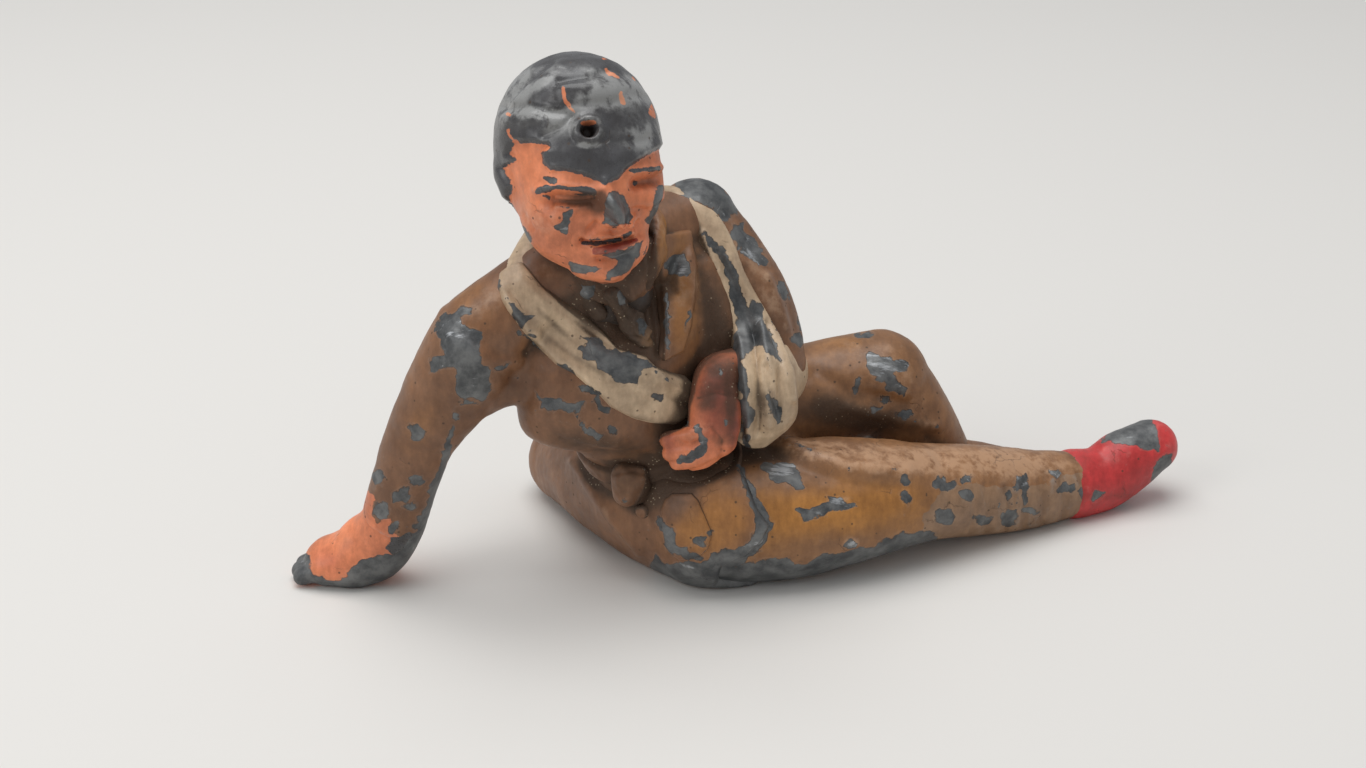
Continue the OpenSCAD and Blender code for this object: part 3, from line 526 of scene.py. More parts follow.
# Breeches: seat, thighs and knees; the wrapped lower legs lie over them
legSet = {
    "skin": (0.15, 12),
    "limbs": {"seat": (70, 56), "rear": (50, 44), "rightLeg": (110, 56, 0.6), "leftThigh": (60, 48), "leftCalf": ()},
    "seat": [
        [-8, 6.2, 2.4, 2.32, 2.4, 2.49, 0, seatTurn], [-5.05, 2.87, 3.44, 3.78, 3.78, 3.78, 0, seatTurn],
        [-1.74, -0.87, 4.12, 4.64, 4.64, 4.55, 0, seatTurn], [1.2, -4.2, 3.95, 4.12, 4.3, 4.3, 0, seatTurn],
    ],
    "rear": [[-8, 6.2, 2.4, 2.4], [-4.41, 4.56, 3.78, 3.61], [-0.02, 2.56, 5.33, 3.95]],
    "rightLeg": [
        [1.2, -4.2, 3.91, 4.21], [5.62, -3.9, 4, 4.3], [10.04, -2.85, 4.15, 3.89], [14.6, -1.2, 3.8, 3.1],
        [18.24, 0.66, 3.02, 2.9], [21.36, 2.13, 2.31, 2.61], [25, 3.7, 1.9, 2.15],
    ],
    "leftThigh": [[-0.02, 2.56, 5.33, 3.87], [6.08, 4.08, 7.26, 3.69], [12.2, 5.6, 8.5, 3.31]],
    "leftCalf": [[12.2, 5.6, 8.5, 3.16], [14.5, 5.55, 5.35, 2.9], [16.8, 5.5, 1.9, 2.2]],
    "ridges": [
        ([772, 436, 808, 454, 850, 468, 905, 474], 9, 0.36), ([770, 450, 808, 468, 850, 481, 900, 487], 8, -0.22),
        ([790, 470, 830, 494, 880, 502], 14, -0.1), ([985, 486, 990, 505, 986, 532], 3, -0.13),
        ([1005, 486, 1010, 505, 1006, 530], 3, -0.14), ([1023, 484, 1027, 504, 1024, 526], 3, -0.14),
        ([1039, 482, 1044, 500, 1041, 522], 3, -0.13), ([1060, 478, 1066, 496, 1064, 516], 3, -0.14),
        ([1079, 474, 1086, 492, 1084, 510], 3, -0.12), ([996, 490, 999, 510, 996, 530], 4, 0.07),
        ([1015, 488, 1018, 508, 1015, 528], 4, 0.07), ([1051, 482, 1055, 500, 1052, 520], 5, 0.07),
        ([970, 490, 975, 512, 970, 534], 3, -0.1), ([815, 372, 850, 392, 905, 405], 9, -0.25),
        ([850, 408, 900, 420, 935, 425], 7, 0.14), ([930, 440, 948, 470, 950, 505], 7, -0.12),
        ([560, 450, 620, 500, 660, 545], 6, 0.12),
    ],
    "mounds": [(885, 365, 26, 20, 0.15, 20)],
}
legLimbs = limbsOf(legSet)
legsBase = skinOf(legLimbs, *legSet["skin"])
legs = grounded(lift(legsBase, reliefOf(legsBase, legSet)))
# where the worn hem of the skirt runs
hemStroke = ([739, 466, 746, 482, 755, 504, 766, 526, 757, 543, 741, 556, 714, 562], [2, 3.5, 5, 8, 8, 8, 8])
legMarks = {
    "bare": {
        "outlines": [
            [795, 508, 818, 508, 826, 502, 829, 496, 853, 502, 856, 506, 826, 513, 811, 520, 797, 516],
            [834, 556, 870, 545, 900, 534, 930, 530, 940, 545, 900, 560, 830, 590],
            [866, 349, 887, 357, 907, 361, 909, 374, 890, 372, 907, 387, 902, 395, 887, 389, 886, 378, 875, 381,
             867, 367],
            [675, 566, 700, 563, 730, 566, 770, 558, 800, 562, 834, 553, 836, 600, 660, 600, 655, 560],
            [761, 463, 793, 463, 799, 479, 791, 484, 770, 481],
        ],
        "strokes": [([1023, 482, 1024, 503], 3), ([780, 470, 800, 487], 4), hemStroke],
        "spots": [
            (904, 481, 6, 6), (905, 498, 5, 5), (945, 484, 11, 7), (967, 478, 5, 4), (965, 496, 7, 6),
            (944, 516, 11, 8), (850, 543, 8, 5), (857, 386, 4, 8), (884, 400, 4, 5), (875, 410, 5, 3),
            (905, 415, 6, 3), (863, 335, 8, 4), (966, 479, 6, 5), (966, 497, 7, 6), (1023, 482, 8, 8),
            (1008, 497, 3, 4), (1054, 475, 6, 4), (1066, 488, 10, 5), (1086, 494, 7, 6), (1010, 517, 10, 8),
            (1030, 512, 8, 3), (983, 520, 9, 4),
        ],
    },
    "second": {
        "outlines": [[930, 503, 952, 484, 985, 484, 1012, 488, 1040, 484, 1070, 476, 1096, 470, 1120, 500, 1110, 560,
                      915, 560, 922, 530]],
    },
    "tone": [(840, 512, 110, 28, 1.05, -5), (720, 520, 44, 34, 1.1), (850, 345, 30, 14, 0.4)],
    # painted shade in the crease under the raised knee, with some dirt
    "shade_and_dirt": [
        (860, 418, 70, 16, 1.3, 6), (775, 455, 26, 10, 1.0), (600, 480, 50, 30, 0.3, 30), (940, 445, 20, 8, 0.4),
        (830, 400, 20, 14, 0.6, 20),
    ],
    # painted highlights along the shin and thigh and on bare metal, with rubbed paint
    "highlight_and_rub": [
        (800, 455, 36, 12, 0.6, 8), (860, 352, 44, 18, 0.6, 14), (916, 400, 14, 34, 0.6, -25),
        (858, 452, 90, 11, 1.0, 8), (1000, 464, 60, 16, 1.3, 4), (928, 458, 30, 10, 0.8, 6),
        (900, 470, 60, 8, 0.4, 5), (780, 472, 16, 9, 1.3), (838, 500, 12, 5, 1.2, -10), (884, 370, 20, 20, 0.45),
        (1020, 458, 70, 14, 0.6, 4), (850, 543, 9, 5, 1.3),
    ],
}
addPiece("breeches", legs, "breeches", ["breeches_seat", "right_thigh", "left_thigh", "right_puttee", "left_puttee"],
         "breeches_paint", legMarks)

# Skirt of the tunic: a sheet over the hips from the belt to the hem
waistAt, waistDir = np.array([-2.2, -1.5, 8.2]), unit(np.array([-1.63, -1.67, 8.39]))
skirtSet = {
    "turned": (-0.15, 0.3), "waver": (1.5, 30, 3), "inset": 0.25, "rise": 0.4, "round": 0.35,
    "hemAt": (4.3, -3.5, 0), "hemDir": (-13.4, -3.0, 0), "low": 0.2, "top": 0.3,
    "front": [
        400, 380, 741, 380, 741, 470, 748, 486, 756, 506, 770, 526, 762, 542, 746, 556, 722, 564, 708, 600, 400, 600,
    ],
    "ridges": [
        ([573, 462, 598, 500, 640, 552], 5, 0.2), ([560, 470, 590, 520, 625, 552], 8, -0.14),
        ([640, 500, 652, 530, 668, 560], 8, -0.12), ([722, 480, 735, 520, 738, 548], 9, 0.1),
    ],
}


def skirtHeight(points, normals, uv):
    # a ledge inside the least of three distances: to the hem, to the waist and to the ground
    hem = (points - np.array(skirtSet["hemAt"])) @ unit(np.array(skirtSet["hemDir"]))
    front = smoothStep(facing(points, normals), *skirtSet["turned"])
    bend = front * inside(wavering(uv, *skirtSet["waver"]), skirtSet["front"]) + (1 - front) * (hem - skirtSet["inset"])
    top = -(points - waistAt) @ waistDir - skirtSet["top"]
    d = np.minimum(np.minimum(bend, top), points[:, 2] - skirtSet["low"])
    return ledge(d, skirtSet["rise"], skirtSet["round"])


skirt = asSkin(sheet(legsBase, skirtHeight), soften=2)
skirt = lift(skirt, reliefOf(skirt, skirtSet))
skirtMarks = {
    "bare": {
        "outlines": [
            [655, 556, 675, 566, 700, 560, 725, 560, 745, 552, 772, 548, 775, 600, 640, 600],
            [761, 463, 793, 463, 799, 479, 791, 484, 770, 481],
        ],
        "strokes": [hemStroke, ([661, 522, 668, 534, 674, 552, 686, 552], 4.5)],
        "spots": [(700, 541, 7, 4, -10), (711, 534, 4, 4), (692, 556, 8, 4)],
    },
    "tone": [(720, 520, 38, 34, 1.0), (690, 540, 30, 20, 0.6)],
    # painted shade below the belt and under the hand, with some dirt
    "shade_and_dirt": [
        (690, 515, 30, 24, 0.35), (640, 480, 40, 24, 0.9, 20), (700, 470, 40, 12, 0.8), (585, 470, 30, 16, 0.5, 30),
    ],
    "highlight_and_rub": [
        (560, 470, 20, 20, 0.4), (660, 545, 20, 10, 0.3, 45), (603, 508, 4, 40, 0.5, -35), (758, 545, 14, 8, 0.9),
        (690, 566, 14, 5, 0.7), (780, 472, 16, 9, 1.3),
    ],
}
addPiece("tunicSkirt", skirt, "brown", ["tunic_skirt"], "tunic_paint", skirtMarks)

# Pocket on the skirt
pocketSet = {
    "outline": [
        668, 500, 676, 494, 694, 494, 700, 501, 706, 515, 713, 531, 709, 545, 700, 553, 682, 556, 672, 548, 667, 530,
        664, 510,
    ],
    "rise": 0.62, "round": 0.3, "base": 0.35, "fall": 4, "away": 0.1,
}
pocket = asSkin(sheet(legsBase, outlined(pocketSet), fine=2), soften=4)
addPiece("tunicPocket", pocket, "brown", ["tunic_pocket"], "tunic_paint", skirtMarks)

# Belt round the waist, with its pouch and a button below
beltSet = {"half": 0.62, "rise": 0.34, "round": 0.3, "skin": (0.16, 8)}


def beltHeight(points, normals, uv):
    # a ledge on both sides of the waist's plane
    d = beltSet["half"] - np.abs((points - waistAt) @ waistDir)
    return ledge(d, beltSet["rise"], beltSet["round"])


torso = skinOf([tunicLimbs[0], *legLimbs[:2]], *beltSet["skin"])
belt = asSkin(sheet(torso, beltHeight), soften=2)
darkMarks = {
    # painted shade in the chest opening and inside the collar, with some dirt
    "shade_and_dirt": [(620, 470, 60, 40, 0.7), (600, 300, 50, 40, 0.9), (650, 270, 14, 34, 1.2), (622, 326, 26, 26, 0.7)],
    "bare": {"spots": [(592, 290, 7, 6), (622, 296, 4, 7, -20), (641, 326, 4.5, 7, -15)]},
    "tone": [(650, 340, 14, 20, 1.0), (612, 310, 12, 20, 0.6)],
}
addPiece("beltBand", belt, "brown", ["belt"], "dark_paint", darkMarks)


def block(at, half, turn, power, rows=60, columns=80):
    # |x/a|^n + |y/b|^n + |z/c|^n = 1, turned about the vertical
    v = np.linspace(-math.pi / 2, math.pi / 2, rows)[:, None]
    u = np.linspace(0, 2 * math.pi, columns, endpoint=False)[None]

    def squared(x):
        return np.sign(x) * np.abs(x) ** (2 / power)

    x = half[0] * squared(np.cos(v)) * squared(np.cos(u))
    y = half[1] * squared(np.cos(v)) * squared(np.sin(u))
    z = half[2] * squared(np.sin(v)) * np.ones_like(u)
    a = math.radians(turn)
    p = np.stack([x * math.cos(a) - y * math.sin(a), x * math.sin(a) + y * math.cos(a), z], -1) + np.array(at)
    return p.reshape(-1, 3), gridFaces(rows, columns)


pouchSet = {
    "block": ((-3.6, -5.95, 6.85), (1.15, 1.0, 1.35), 30, 3.0), "skin": (0.07, 6), "rough": [(0.07, 1.1, 3)],
    "ridges": [([612, 474, 632, 471, 652, 476], 3, -0.07)],
    "mounds": [(622, 466, 6, 5, 0.1), (640, 482, 7, 8, 0.12), (624, 494, 7, 5, -0.08)],
}
pouch = skinOf([block(*pouchSet["block"])], *pouchSet["skin"])
pouch = lift(pouch, roughRelief(pouch, pouchSet))
addPiece("beltPouch", pouch, "brown", ["belt_pouch"], "dark_paint", darkMarks)

buttonSet = {"block": ((-2.9, -6.35, 5.15), (0.52, 0.36, 0.46), -30, 2.2), "skin": (0.05, 3)}
button = skinOf([block(*buttonSet["block"])], *buttonSet["skin"])
addPiece("tunicButton", button, "brown", ["tunic_button"], "bare_casting", darkMarks)

# Sling: a band from behind the neck over the right shoulder, and a wide one down to the left arm
strapSet = {
    "outline": [
        500, 276, 510, 268, 523, 263, 541, 284, 567, 303, 588, 318, 597, 325, 619, 348, 645, 356, 656, 368, 684, 376,
        695, 388, 692, 414, 673, 424, 651, 422, 632, 417, 610, 406, 601, 395, 575, 373, 556, 364, 538, 343, 523, 330,
        508, 310, 498, 288,
    ],
    "rise": 0.5, "round": 0.3, "away": 0.05, "soften": 90,
    "ridges": [
        ([522, 280, 560, 316, 602, 352, 648, 370, 690, 392], 6, 0.1),
        ([512, 292, 548, 334, 596, 374, 650, 402], 5, -0.1), ([505, 300, 540, 345, 590, 385, 650, 414], 5, 0.07),
        ([560, 308, 600, 338, 640, 360], 4, -0.08), ([640, 378, 664, 394, 688, 404], 4, -0.1),
        ([655, 372, 676, 386, 690, 398], 3, 0.1),
    ],
}
strapVerts = spread(tunicBase["verts"], tunicBase["edges"], strapSet["soften"])
strapBase = {**tunicBase, "verts": strapVerts, "normals": normalsOf(strapVerts, tunicBase["faces"])}
strap = asSkin(sheet(strapBase, outlined(strapSet), depth=0.8), soften=10)
strap = lift(strap, reliefOf(strap, strapSet))

slingSet = {
    "skin": (0.11, 8), "backSkin": (0.09, 5), "limbs": {"left": (110, 48), "cradle": ()},
    "back": [
        [-6.99, -1.15, 21.7, 1.02, 0.5, 0.88, chestTilt, chestTurn],
        [-8.48, -3.13, 22.0, 1.02, 0.7, 0.75, chestTilt, chestTurn],
        [-9.48, -6.05, 20.95, 1.2, 0.9, 0.5, chestTilt, chestTurn],
        [-9.4, -7.5, 19.9, 1.25, 0.7, 0.68, chestTilt, chestTurn],
    ],
    "left": [
        [-6.99, -1.15, 21.7, 1.02, 0.5, 0.88, chestTilt, chestTurn], [-2.1, 1.3, 22.2, 0.95, 0.5, 0.9, 0, 15],
        [-0.5, 0.1, 22.15, 1.0, 0.5, 0.95, 0, 15], [0.98, -0.98, 20.97, 1.12, 0.5, 1.02, 0, 15],
        [2.2, -2.07, 18.26, 1.19, 0.5, 1.02, 0, 15], [3.6, -3.07, 15.37, 1.46, 0.65, 1.02, 0, 15],
        [4.26, -5.81, 13.89, 1.63, 0.9, 1.02, 0, 15], [4.48, -5.73, 11.48, 1.9, 1.2, 1.02, 0, 15],
        [3.71, -5.3, 9.76, 1.36, 0.9, 0.68, 0, 15],
    ],
    "cradle": [[4.7, -1, 11.95, 2.45], [3.75, -3.12, 12.2, 2.5], [2.98, -4.81, 12.2, 2.2]],
    "ridges": [
        ([741, 340, 747, 385, 750, 436], 4, 0.26), ([753, 330, 758, 375, 758, 432], 3.6, -0.34),
        ([760, 325, 769, 365, 769, 425], 4, 0.26), ([768, 322, 780, 362, 781, 412], 3.4, -0.3),
        ([766, 366, 770, 388, 780, 418], 3.2, -0.3), ([774, 350, 784, 372, 790, 398], 4, 0.2),
        ([776, 325, 790, 365, 793, 400], 4, 0.2), ([735, 375, 738, 405, 742, 436], 3.4, -0.2),
        ([702, 235, 722, 285, 738, 335], 4.5, 0.16), ([716, 250, 738, 296, 757, 338], 3.6, -0.2),
        ([728, 258, 752, 300, 772, 345], 4, 0.16), ([690, 215, 706, 255, 722, 300], 3, -0.1),
    ],
}
slingMarks = {
    "bare": {
        "outlines": [
            [584, 334, 601, 339, 606, 347, 636, 354, 658, 367, 640, 371, 636, 385, 621, 383, 610, 373, 597, 367,
             578, 352, 586, 343],
            [508, 304, 519, 308, 523, 317, 536, 318, 523, 328, 512, 318],
            [554, 364, 569, 365, 575, 371, 575, 380, 562, 375], [653, 393, 663, 393, 661, 401, 652, 398],
            [700, 228, 705, 240, 713, 249, 728, 271, 727, 279, 730, 297, 736, 314, 737, 327, 736, 344, 731, 347,
             740, 403, 742, 432, 751, 429, 753, 414, 747, 395, 744, 356, 753, 347, 762, 349, 781, 362, 775, 341,
             769, 325, 761, 307, 752, 298, 747, 306, 740, 289, 737, 274, 728, 257, 721, 245, 706, 235],
            [768, 393, 777, 401, 781, 416, 777, 425, 770, 412],
        ],
        "strokes": [([581, 388, 599, 396], 2), ([595, 402, 608, 411], 2), ([743, 437, 748, 447], 3)],
        "spots": [(530, 336, 3, 2), (745, 438, 4, 6), (496, 285, 3, 6)],
    },
    "shade_and_dirt": [
        (556, 326, 44, 4, 0.6, 42), (590, 366, 40, 5, 0.7, 32), (572, 308, 34, 6, 1.2, 40), (660, 380, 20, 12, 0.3),
        (640, 420, 30, 6, 0.7, 5), (690, 395, 8, 20, 0.6), (762, 402, 7, 26, 0.95, -12), (690, 400, 8, 20, 0.7),
    ],
    "highlight_and_rub": [(520, 285, 20, 14, 0.4, 40), (755, 320, 8, 30, 0.4, -25)],
}
addPiece("slingRight", strap, "sling", ["sling_strap_right"], "sling_paint", slingMarks)
back = skinOf([limb(slingSet["back"])], *slingSet["backSkin"])
addPiece("slingBack", back, "sling", ["sling_strap_right"], "sling_paint", slingMarks)
left = skinOf(limbsOf(slingSet), *slingSet["skin"])
left = lift(left, reliefOf(left, slingSet))
addPiece("slingLeft", left, "sling", ["sling_strap_left", "sling_cradle"], "sling_paint", slingMarks)

# Hands
leftHandSet = {
    "skin": (0.08, 6), "limbs": {"wrist": (40, 36), "palm": (20, 30)}, "grid": (24, 20),
    "wrist": [
        [3.1, -4.0, 13.3, 1.9, 1.6, 1.6, 0, 0], [1.5, -5.6, 13.65, 1.3, 1.3, 1.2, 0, 0],
        [1.35, -6.4, 12.5, 1.5, 1.2, 1.4, 0, 0], [1.35, -6.8, 11.3, 1.55, 1.1, 1.3, 0, 0],
        [1.15, -7.0, 10.3, 1.6, 0.95, 1.1, 0, 0],
    ],
    "fingers": [
        [[0.9, -7.2, 10.95, 0.62], [-0.35, -7.5, 10.6, 0.6], [-1.35, -7.25, 10.3, 0.5]],
        [[1.1, -7.35, 10.35, 0.62], [-0.2, -7.7, 9.9, 0.6], [-1.25, -7.45, 9.55, 0.5]],
        [[1.3, -7.35, 9.85, 0.6], [0.15, -7.65, 9.35, 0.58], [-0.85, -7.4, 8.95, 0.48]],
        [[1.6, -7.1, 9.75, 0.55], [0.8, -7.3, 9.1, 0.52], [0.1, -7.2, 8.7, 0.42]],
    ],
    "palm": [[1.0, -6.6, 10.6, 1.5, 0.8, 0.9, 0, 0], [-0.3, -6.8, 9.9, 1.2, 0.7, 0.8, 0, 0]],
    "ridges": [
        ([732, 365, 737, 400, 735, 430], 4, 0.1), ([698, 398, 716, 393, 738, 397], 3, -0.09),
        ([676, 441, 690, 447, 700, 441], 3, -0.12), ([712, 428, 722, 440, 722, 456], 3, -0.1),
        ([700, 462, 716, 452, 738, 450], 3, -0.08),
    ],
    "mounds": [(712, 384, 12, 10, 0.12), (724, 412, 10, 10, 0.1), (690, 434, 10, 6, 0.1)],
}
leftHandLimbs = limbsOf(leftHandSet) + [limb(row, *leftHandSet["grid"]) for row in leftHandSet["fingers"]]
leftHand = skinOf(leftHandLimbs, *leftHandSet["skin"])
leftHand = lift(leftHand, reliefOf(leftHand, leftHandSet))
leftHandMarks = {
    "bare": {
        "outlines": [[676, 423, 686, 418, 687, 426]],
        "strokes": [([697, 429, 703, 436, 705, 447, 697, 453, 682, 460], 3.5)],
        "spots": [(726, 421, 2.2, 2.2), (719, 372, 2, 1.6)],
    },
    "tone": [(718, 400, 28, 48, 0.8), (668, 435, 10, 20, 0.6), (735, 430, 8, 30, 0.4)],
    "shade_and_dirt": [
        (714, 366, 26, 26, 0.8), (722, 402, 20, 34, 0.5), (732, 405, 7, 40, 0.8), (666, 432, 8, 20, 0.6),
        (704, 400, 12, 14, 0.7), (716, 440, 20, 8, 0.5),
    ],
    "highlight_and_rub": [(706, 425, 14, 14, 0.7), (697, 458, 12, 6, 0.4)],
}
addPiece("leftHand", leftHand, "flesh", ["left_hand"], "flesh_paint", leftHandMarks)

rightHandSet = {
    "palm": [
        [-17.6, -6.0, 5.4, 1.9], [-18.2, -5.85, 3.9, 1.92, 1.95, 2.1, 0, -4],
        [-19.2, -5.55, 2.5, 1.9, 1.95, 2.4, 0, -4], [-20.7, -5.3, 1.5, 2.0, 2.15, 1.95, 0, -4],
        [-22.2, -5.15, 1.15, 1.5, 2.0, 1.45, 0, -4],
    ],
    "skin": (0.09, 8), "at": (-20.7, -5.25, 0), "turn": -4, "length": 3.3, "step": 0.98, "close": 0.8,
    "shares": (0.9, 1.0, 0.97, 0.85), "thick": (0.66, 0.66, 0.66 * 0.85), "high": (1.7, 1.25, 0.6), "grid": (20, 20),
}
handTurn = math.radians(rightHandSet["turn"])
along = np.array([-math.cos(handTurn), -math.sin(handTurn), 0])
aside = np.array([-math.sin(handTurn), math.cos(handTurn), 0])
handLimbs = [limb(rightHandSet["palm"])]
for i, share in enumerate(rightHandSet["shares"]):
    shift = aside * rightHandSet["step"]
    root = np.array(rightHandSet["at"]) + shift * (i - 1.5)
    tip = np.array(rightHandSet["at"]) + along * rightHandSet["length"] * share + (
        shift * rightHandSet["close"] * (i - 1.5))
    rows = zip((root, (root + tip) / 2, tip), rightHandSet["high"], rightHandSet["thick"])
    handLimbs.append(limb([[*at[:2], high, thick] for at, high, thick in rows], *rightHandSet["grid"]))
rightHand = grounded(skinOf(handLimbs, *rightHandSet["skin"]))
rightHandMarks = {
    "bare": {
        "outlines": [[270, 545, 300, 546, 309, 555, 311, 571, 318, 580, 337, 579, 352, 567, 369, 560, 384, 553,
                      393, 556, 404, 547, 415, 528, 424, 505, 434, 480, 443, 450, 475, 450, 475, 620, 270, 620]],
    },
    "second": {
        "outlines": [[369, 470, 368, 489, 379, 499, 373, 508, 374, 519, 378, 523, 386, 520, 391, 534, 385, 549,
                      398, 560, 412, 552, 475, 520, 475, 460]],
    },
    "tone": [(330, 560, 20, 14, 0.4)],
    "shade_and_dirt": [(384, 525, 8, 8, 0.4)],
    "highlight_and_rub": [(345, 535, 24, 14, 0.4, -30), (303, 560, 6, 8, 0.6)],
}
addPiece("rightHand", rightHand, "flesh", ["right_hand"], "flesh_paint", rightHandMarks)

# Collar, tie and lapel
collarSet = {
    "middle": (-5.18, -3.75, 20.8), "radius": 3.25, "across": (0.795, 0.557, 0.242), "front": (0.574, -0.819, 0.0),
    "rise": 0.9, "lift": 0.73, "thick": 0.62, "tall": 1.2, "steps": 22, "grid": (120, 32), "skin": (0.09, 5),
    "rough": [(0.09, 1.2, 61), (0.04, 0.5, 62)],
    "ridges": [
        ([650, 236, 652, 262, 650, 292], 3.5, -0.3), ([560, 276, 580, 288, 604, 300], 4, -0.16),
        ([596, 286, 604, 300, 618, 306], 4, 0.14),
    ],
}
# the collar's ring: p = middle + radius (across cos t - front sin t) + (rise sin t + lift |cos t|) upwards
turns = np.linspace(0, 2 * math.pi, collarSet["steps"] + 1)[:, None]
across, ahead = np.array(collarSet["across"]), np.array(collarSet["front"])
flat = np.array(collarSet["middle"]) + collarSet["radius"] * (across * np.cos(turns) - ahead * np.sin(turns))
rise = collarSet["rise"] * np.sin(turns) + collarSet["lift"] * np.abs(np.cos(turns))
collarStations = [[*p, collarSet["thick"], collarSet["thick"], collarSet["tall"], 0, 0]
                  for p in flat + np.array([0, 0, 1]) * rise]
collar = skinOf([limb(collarStations, *collarSet["grid"])], *collarSet["skin"])
collar = lift(collar, roughRelief(collar, collarSet))
collarMarks = {
    # painted shade inside the collar and beside the lapel, with some dirt
    "shade_and_dirt": [(585, 285, 50, 40, 1.3), (636, 262, 26, 26, 0.9), (652, 262, 4, 46, 1.3)],
    "tone": [(690, 240, 20, 40, 0.5), (664, 245, 8, 40, 0.9)],
    "bare": {
        "outlines": [[576, 286, 583, 284, 587, 288, 593, 287, 594, 294, 589, 296, 590, 301, 582, 299,
                      583, 294, 577, 292]],
        "spots": [(572, 272, 5, 3, 20), (595, 311, 4, 3.5, 20), (588, 306, 2, 1.6)],
    },
    # painted highlights on the collar's chip and on the lapel's top
    "highlight_and_rub": [(587, 294, 7, 5, 0.8, 40), (595, 311, 5, 4, 0.8), (666, 232, 10, 26, 0.6)],
}
addPiece("collarBand", collar, "brown", ["collar"], "dark_paint", collarMarks)

tieSet = {
    "skin": (0.07, 4), "limbs": {"knot": (20, 28), "blade": (30, 28), "shirt": (20, 24)},
    "rough": [(0.07, 0.9, 8), (0.03, 0.4, 9)],
    "knot": [[-4.5, -7.25, 19.55, 0.62, 0.5, 0.6, 0, 35], [-4.05, -7.15, 18.7, 0.5, 0.5, 0.5, 0, 35]],
    "blade": [
        [-4.1, -6.95, 18.6, 0.42, 0.5, 0.5, 0, 35], [-3.4, -6.75, 17.5, 0.78, 0.5, 0.8, 0, 35],
        [-2.7, -6.6, 16.2, 0.45, 0.45, 0.7, 0, 35],
    ],
    "shirt": [[-6.4, -6.6, 19.5, 0.4, 0.4, 0.7, 0, 35], [-5.3, -7.0, 18.3, 0.4, 0.35, 0.6, 0, 35]],
    "ridges": [
        ([636, 312, 648, 316, 652, 328, 646, 338, 636, 332, 632, 320, 636, 312], 2.2, 0.16),
        ([612, 292, 622, 306, 630, 318], 3, -0.12), ([626, 286, 640, 300, 650, 312], 3, 0.12),
    ],
}
tie = skinOf(limbsOf(tieSet), *tieSet["skin"])
tie = lift(tie, roughRelief(tie, tieSet))
addPiece("tieKnot", tie, "dark", ["tie"], "dark_paint", darkMarks)

lapelSet = {
    "outline": [655, 236, 690, 230, 696, 262, 695, 300, 690, 330, 682, 352, 663, 361, 664, 330, 659, 280],
    "rise": 0.32, "round": 0.25, "away": 0.05, "skin": (0.07, 3),
}
lapel = skinOf([sheet(tunicBase, outlined(lapelSet), fine=2)], *lapelSet["skin"])
lapelMarks = {
    "bare": {
        "outlines": [[667, 261, 683, 255, 688, 262, 687, 275, 672, 276]],
        "strokes": [([667, 296, 668, 350], 1.8)],
        "spots": [(688, 318, 2, 6)],
    },
    "tone": [(680, 290, 12, 60, 1.0)],
    "highlight_and_rub": [(680, 300, 6, 40, 0.3), (688, 284, 14, 20, 0.7)],
}
addPiece("tunicLapel", lapel, "brown", ["tunic_lapel"], "breeches_paint", lapelMarks)

# Boots
bootSet = {
    "stations": [
        [0, 0, 0, 2.3, 2.3, 2.3], [1.98, 0, 0, 2.15, 2.1, 2.15], [3.8, 0, 0.5, 2.15, 2.02, 2.24],
        [5.78, 0, 1.0, 1.81, 1.8, 1.81],
    ],
    "right": {"at": (25, 3.7, 1.9), "turn": 22, "lift": 1.67},
    "left": {"at": (16.8, 5.5, 1.9), "turn": -8, "lift": -0.9},
    "grid": (50, 44), "skin": (0.11, 6),
}


def bootSkin(place):
    # the stations run out from the ankle: p = at + (x cos a, x sin a, lift z)
    a = math.radians(place["turn"])
    rows = []
    for x, y, z, rx, ry, rz in bootSet["stations"]:
        at = (place["at"][0] + x * math.cos(a), place["at"][1] + x * math.sin(a), place["at"][2] + z * place["lift"])
        rows.append([*at, rx, ry, rz, 0, place["turn"]])
    return grounded(skinOf([limb(rows, *bootSet["grid"])], *bootSet["skin"]))


bootMarks = {
    "bare": {
        "outlines": [
            [1104, 440, 1116, 424, 1150, 414, 1158, 430, 1160, 452, 1138, 447, 1120, 443],
            [1157, 459, 1170, 454, 1170, 480, 1151, 484, 1154, 466],
        ],
        "spots": [(1096, 497, 8, 5), (1105, 440, 4, 2)],
    },
    "second": {"outlines": [[940, 425, 1025, 425, 1025, 452, 940, 452]]},
    "shade_and_dirt": [(1084, 470, 8, 30, 0.4), (1120, 497, 40, 6, 0.5)],
    "highlight_and_rub": [(1110, 460, 20, 14, 0.4)],
}
for side in ("right", "left"):
    addPiece(side + "Boot", bootSkin(bootSet[side]), "red", [side + "_boot"], "boot_paint", bootMarks)

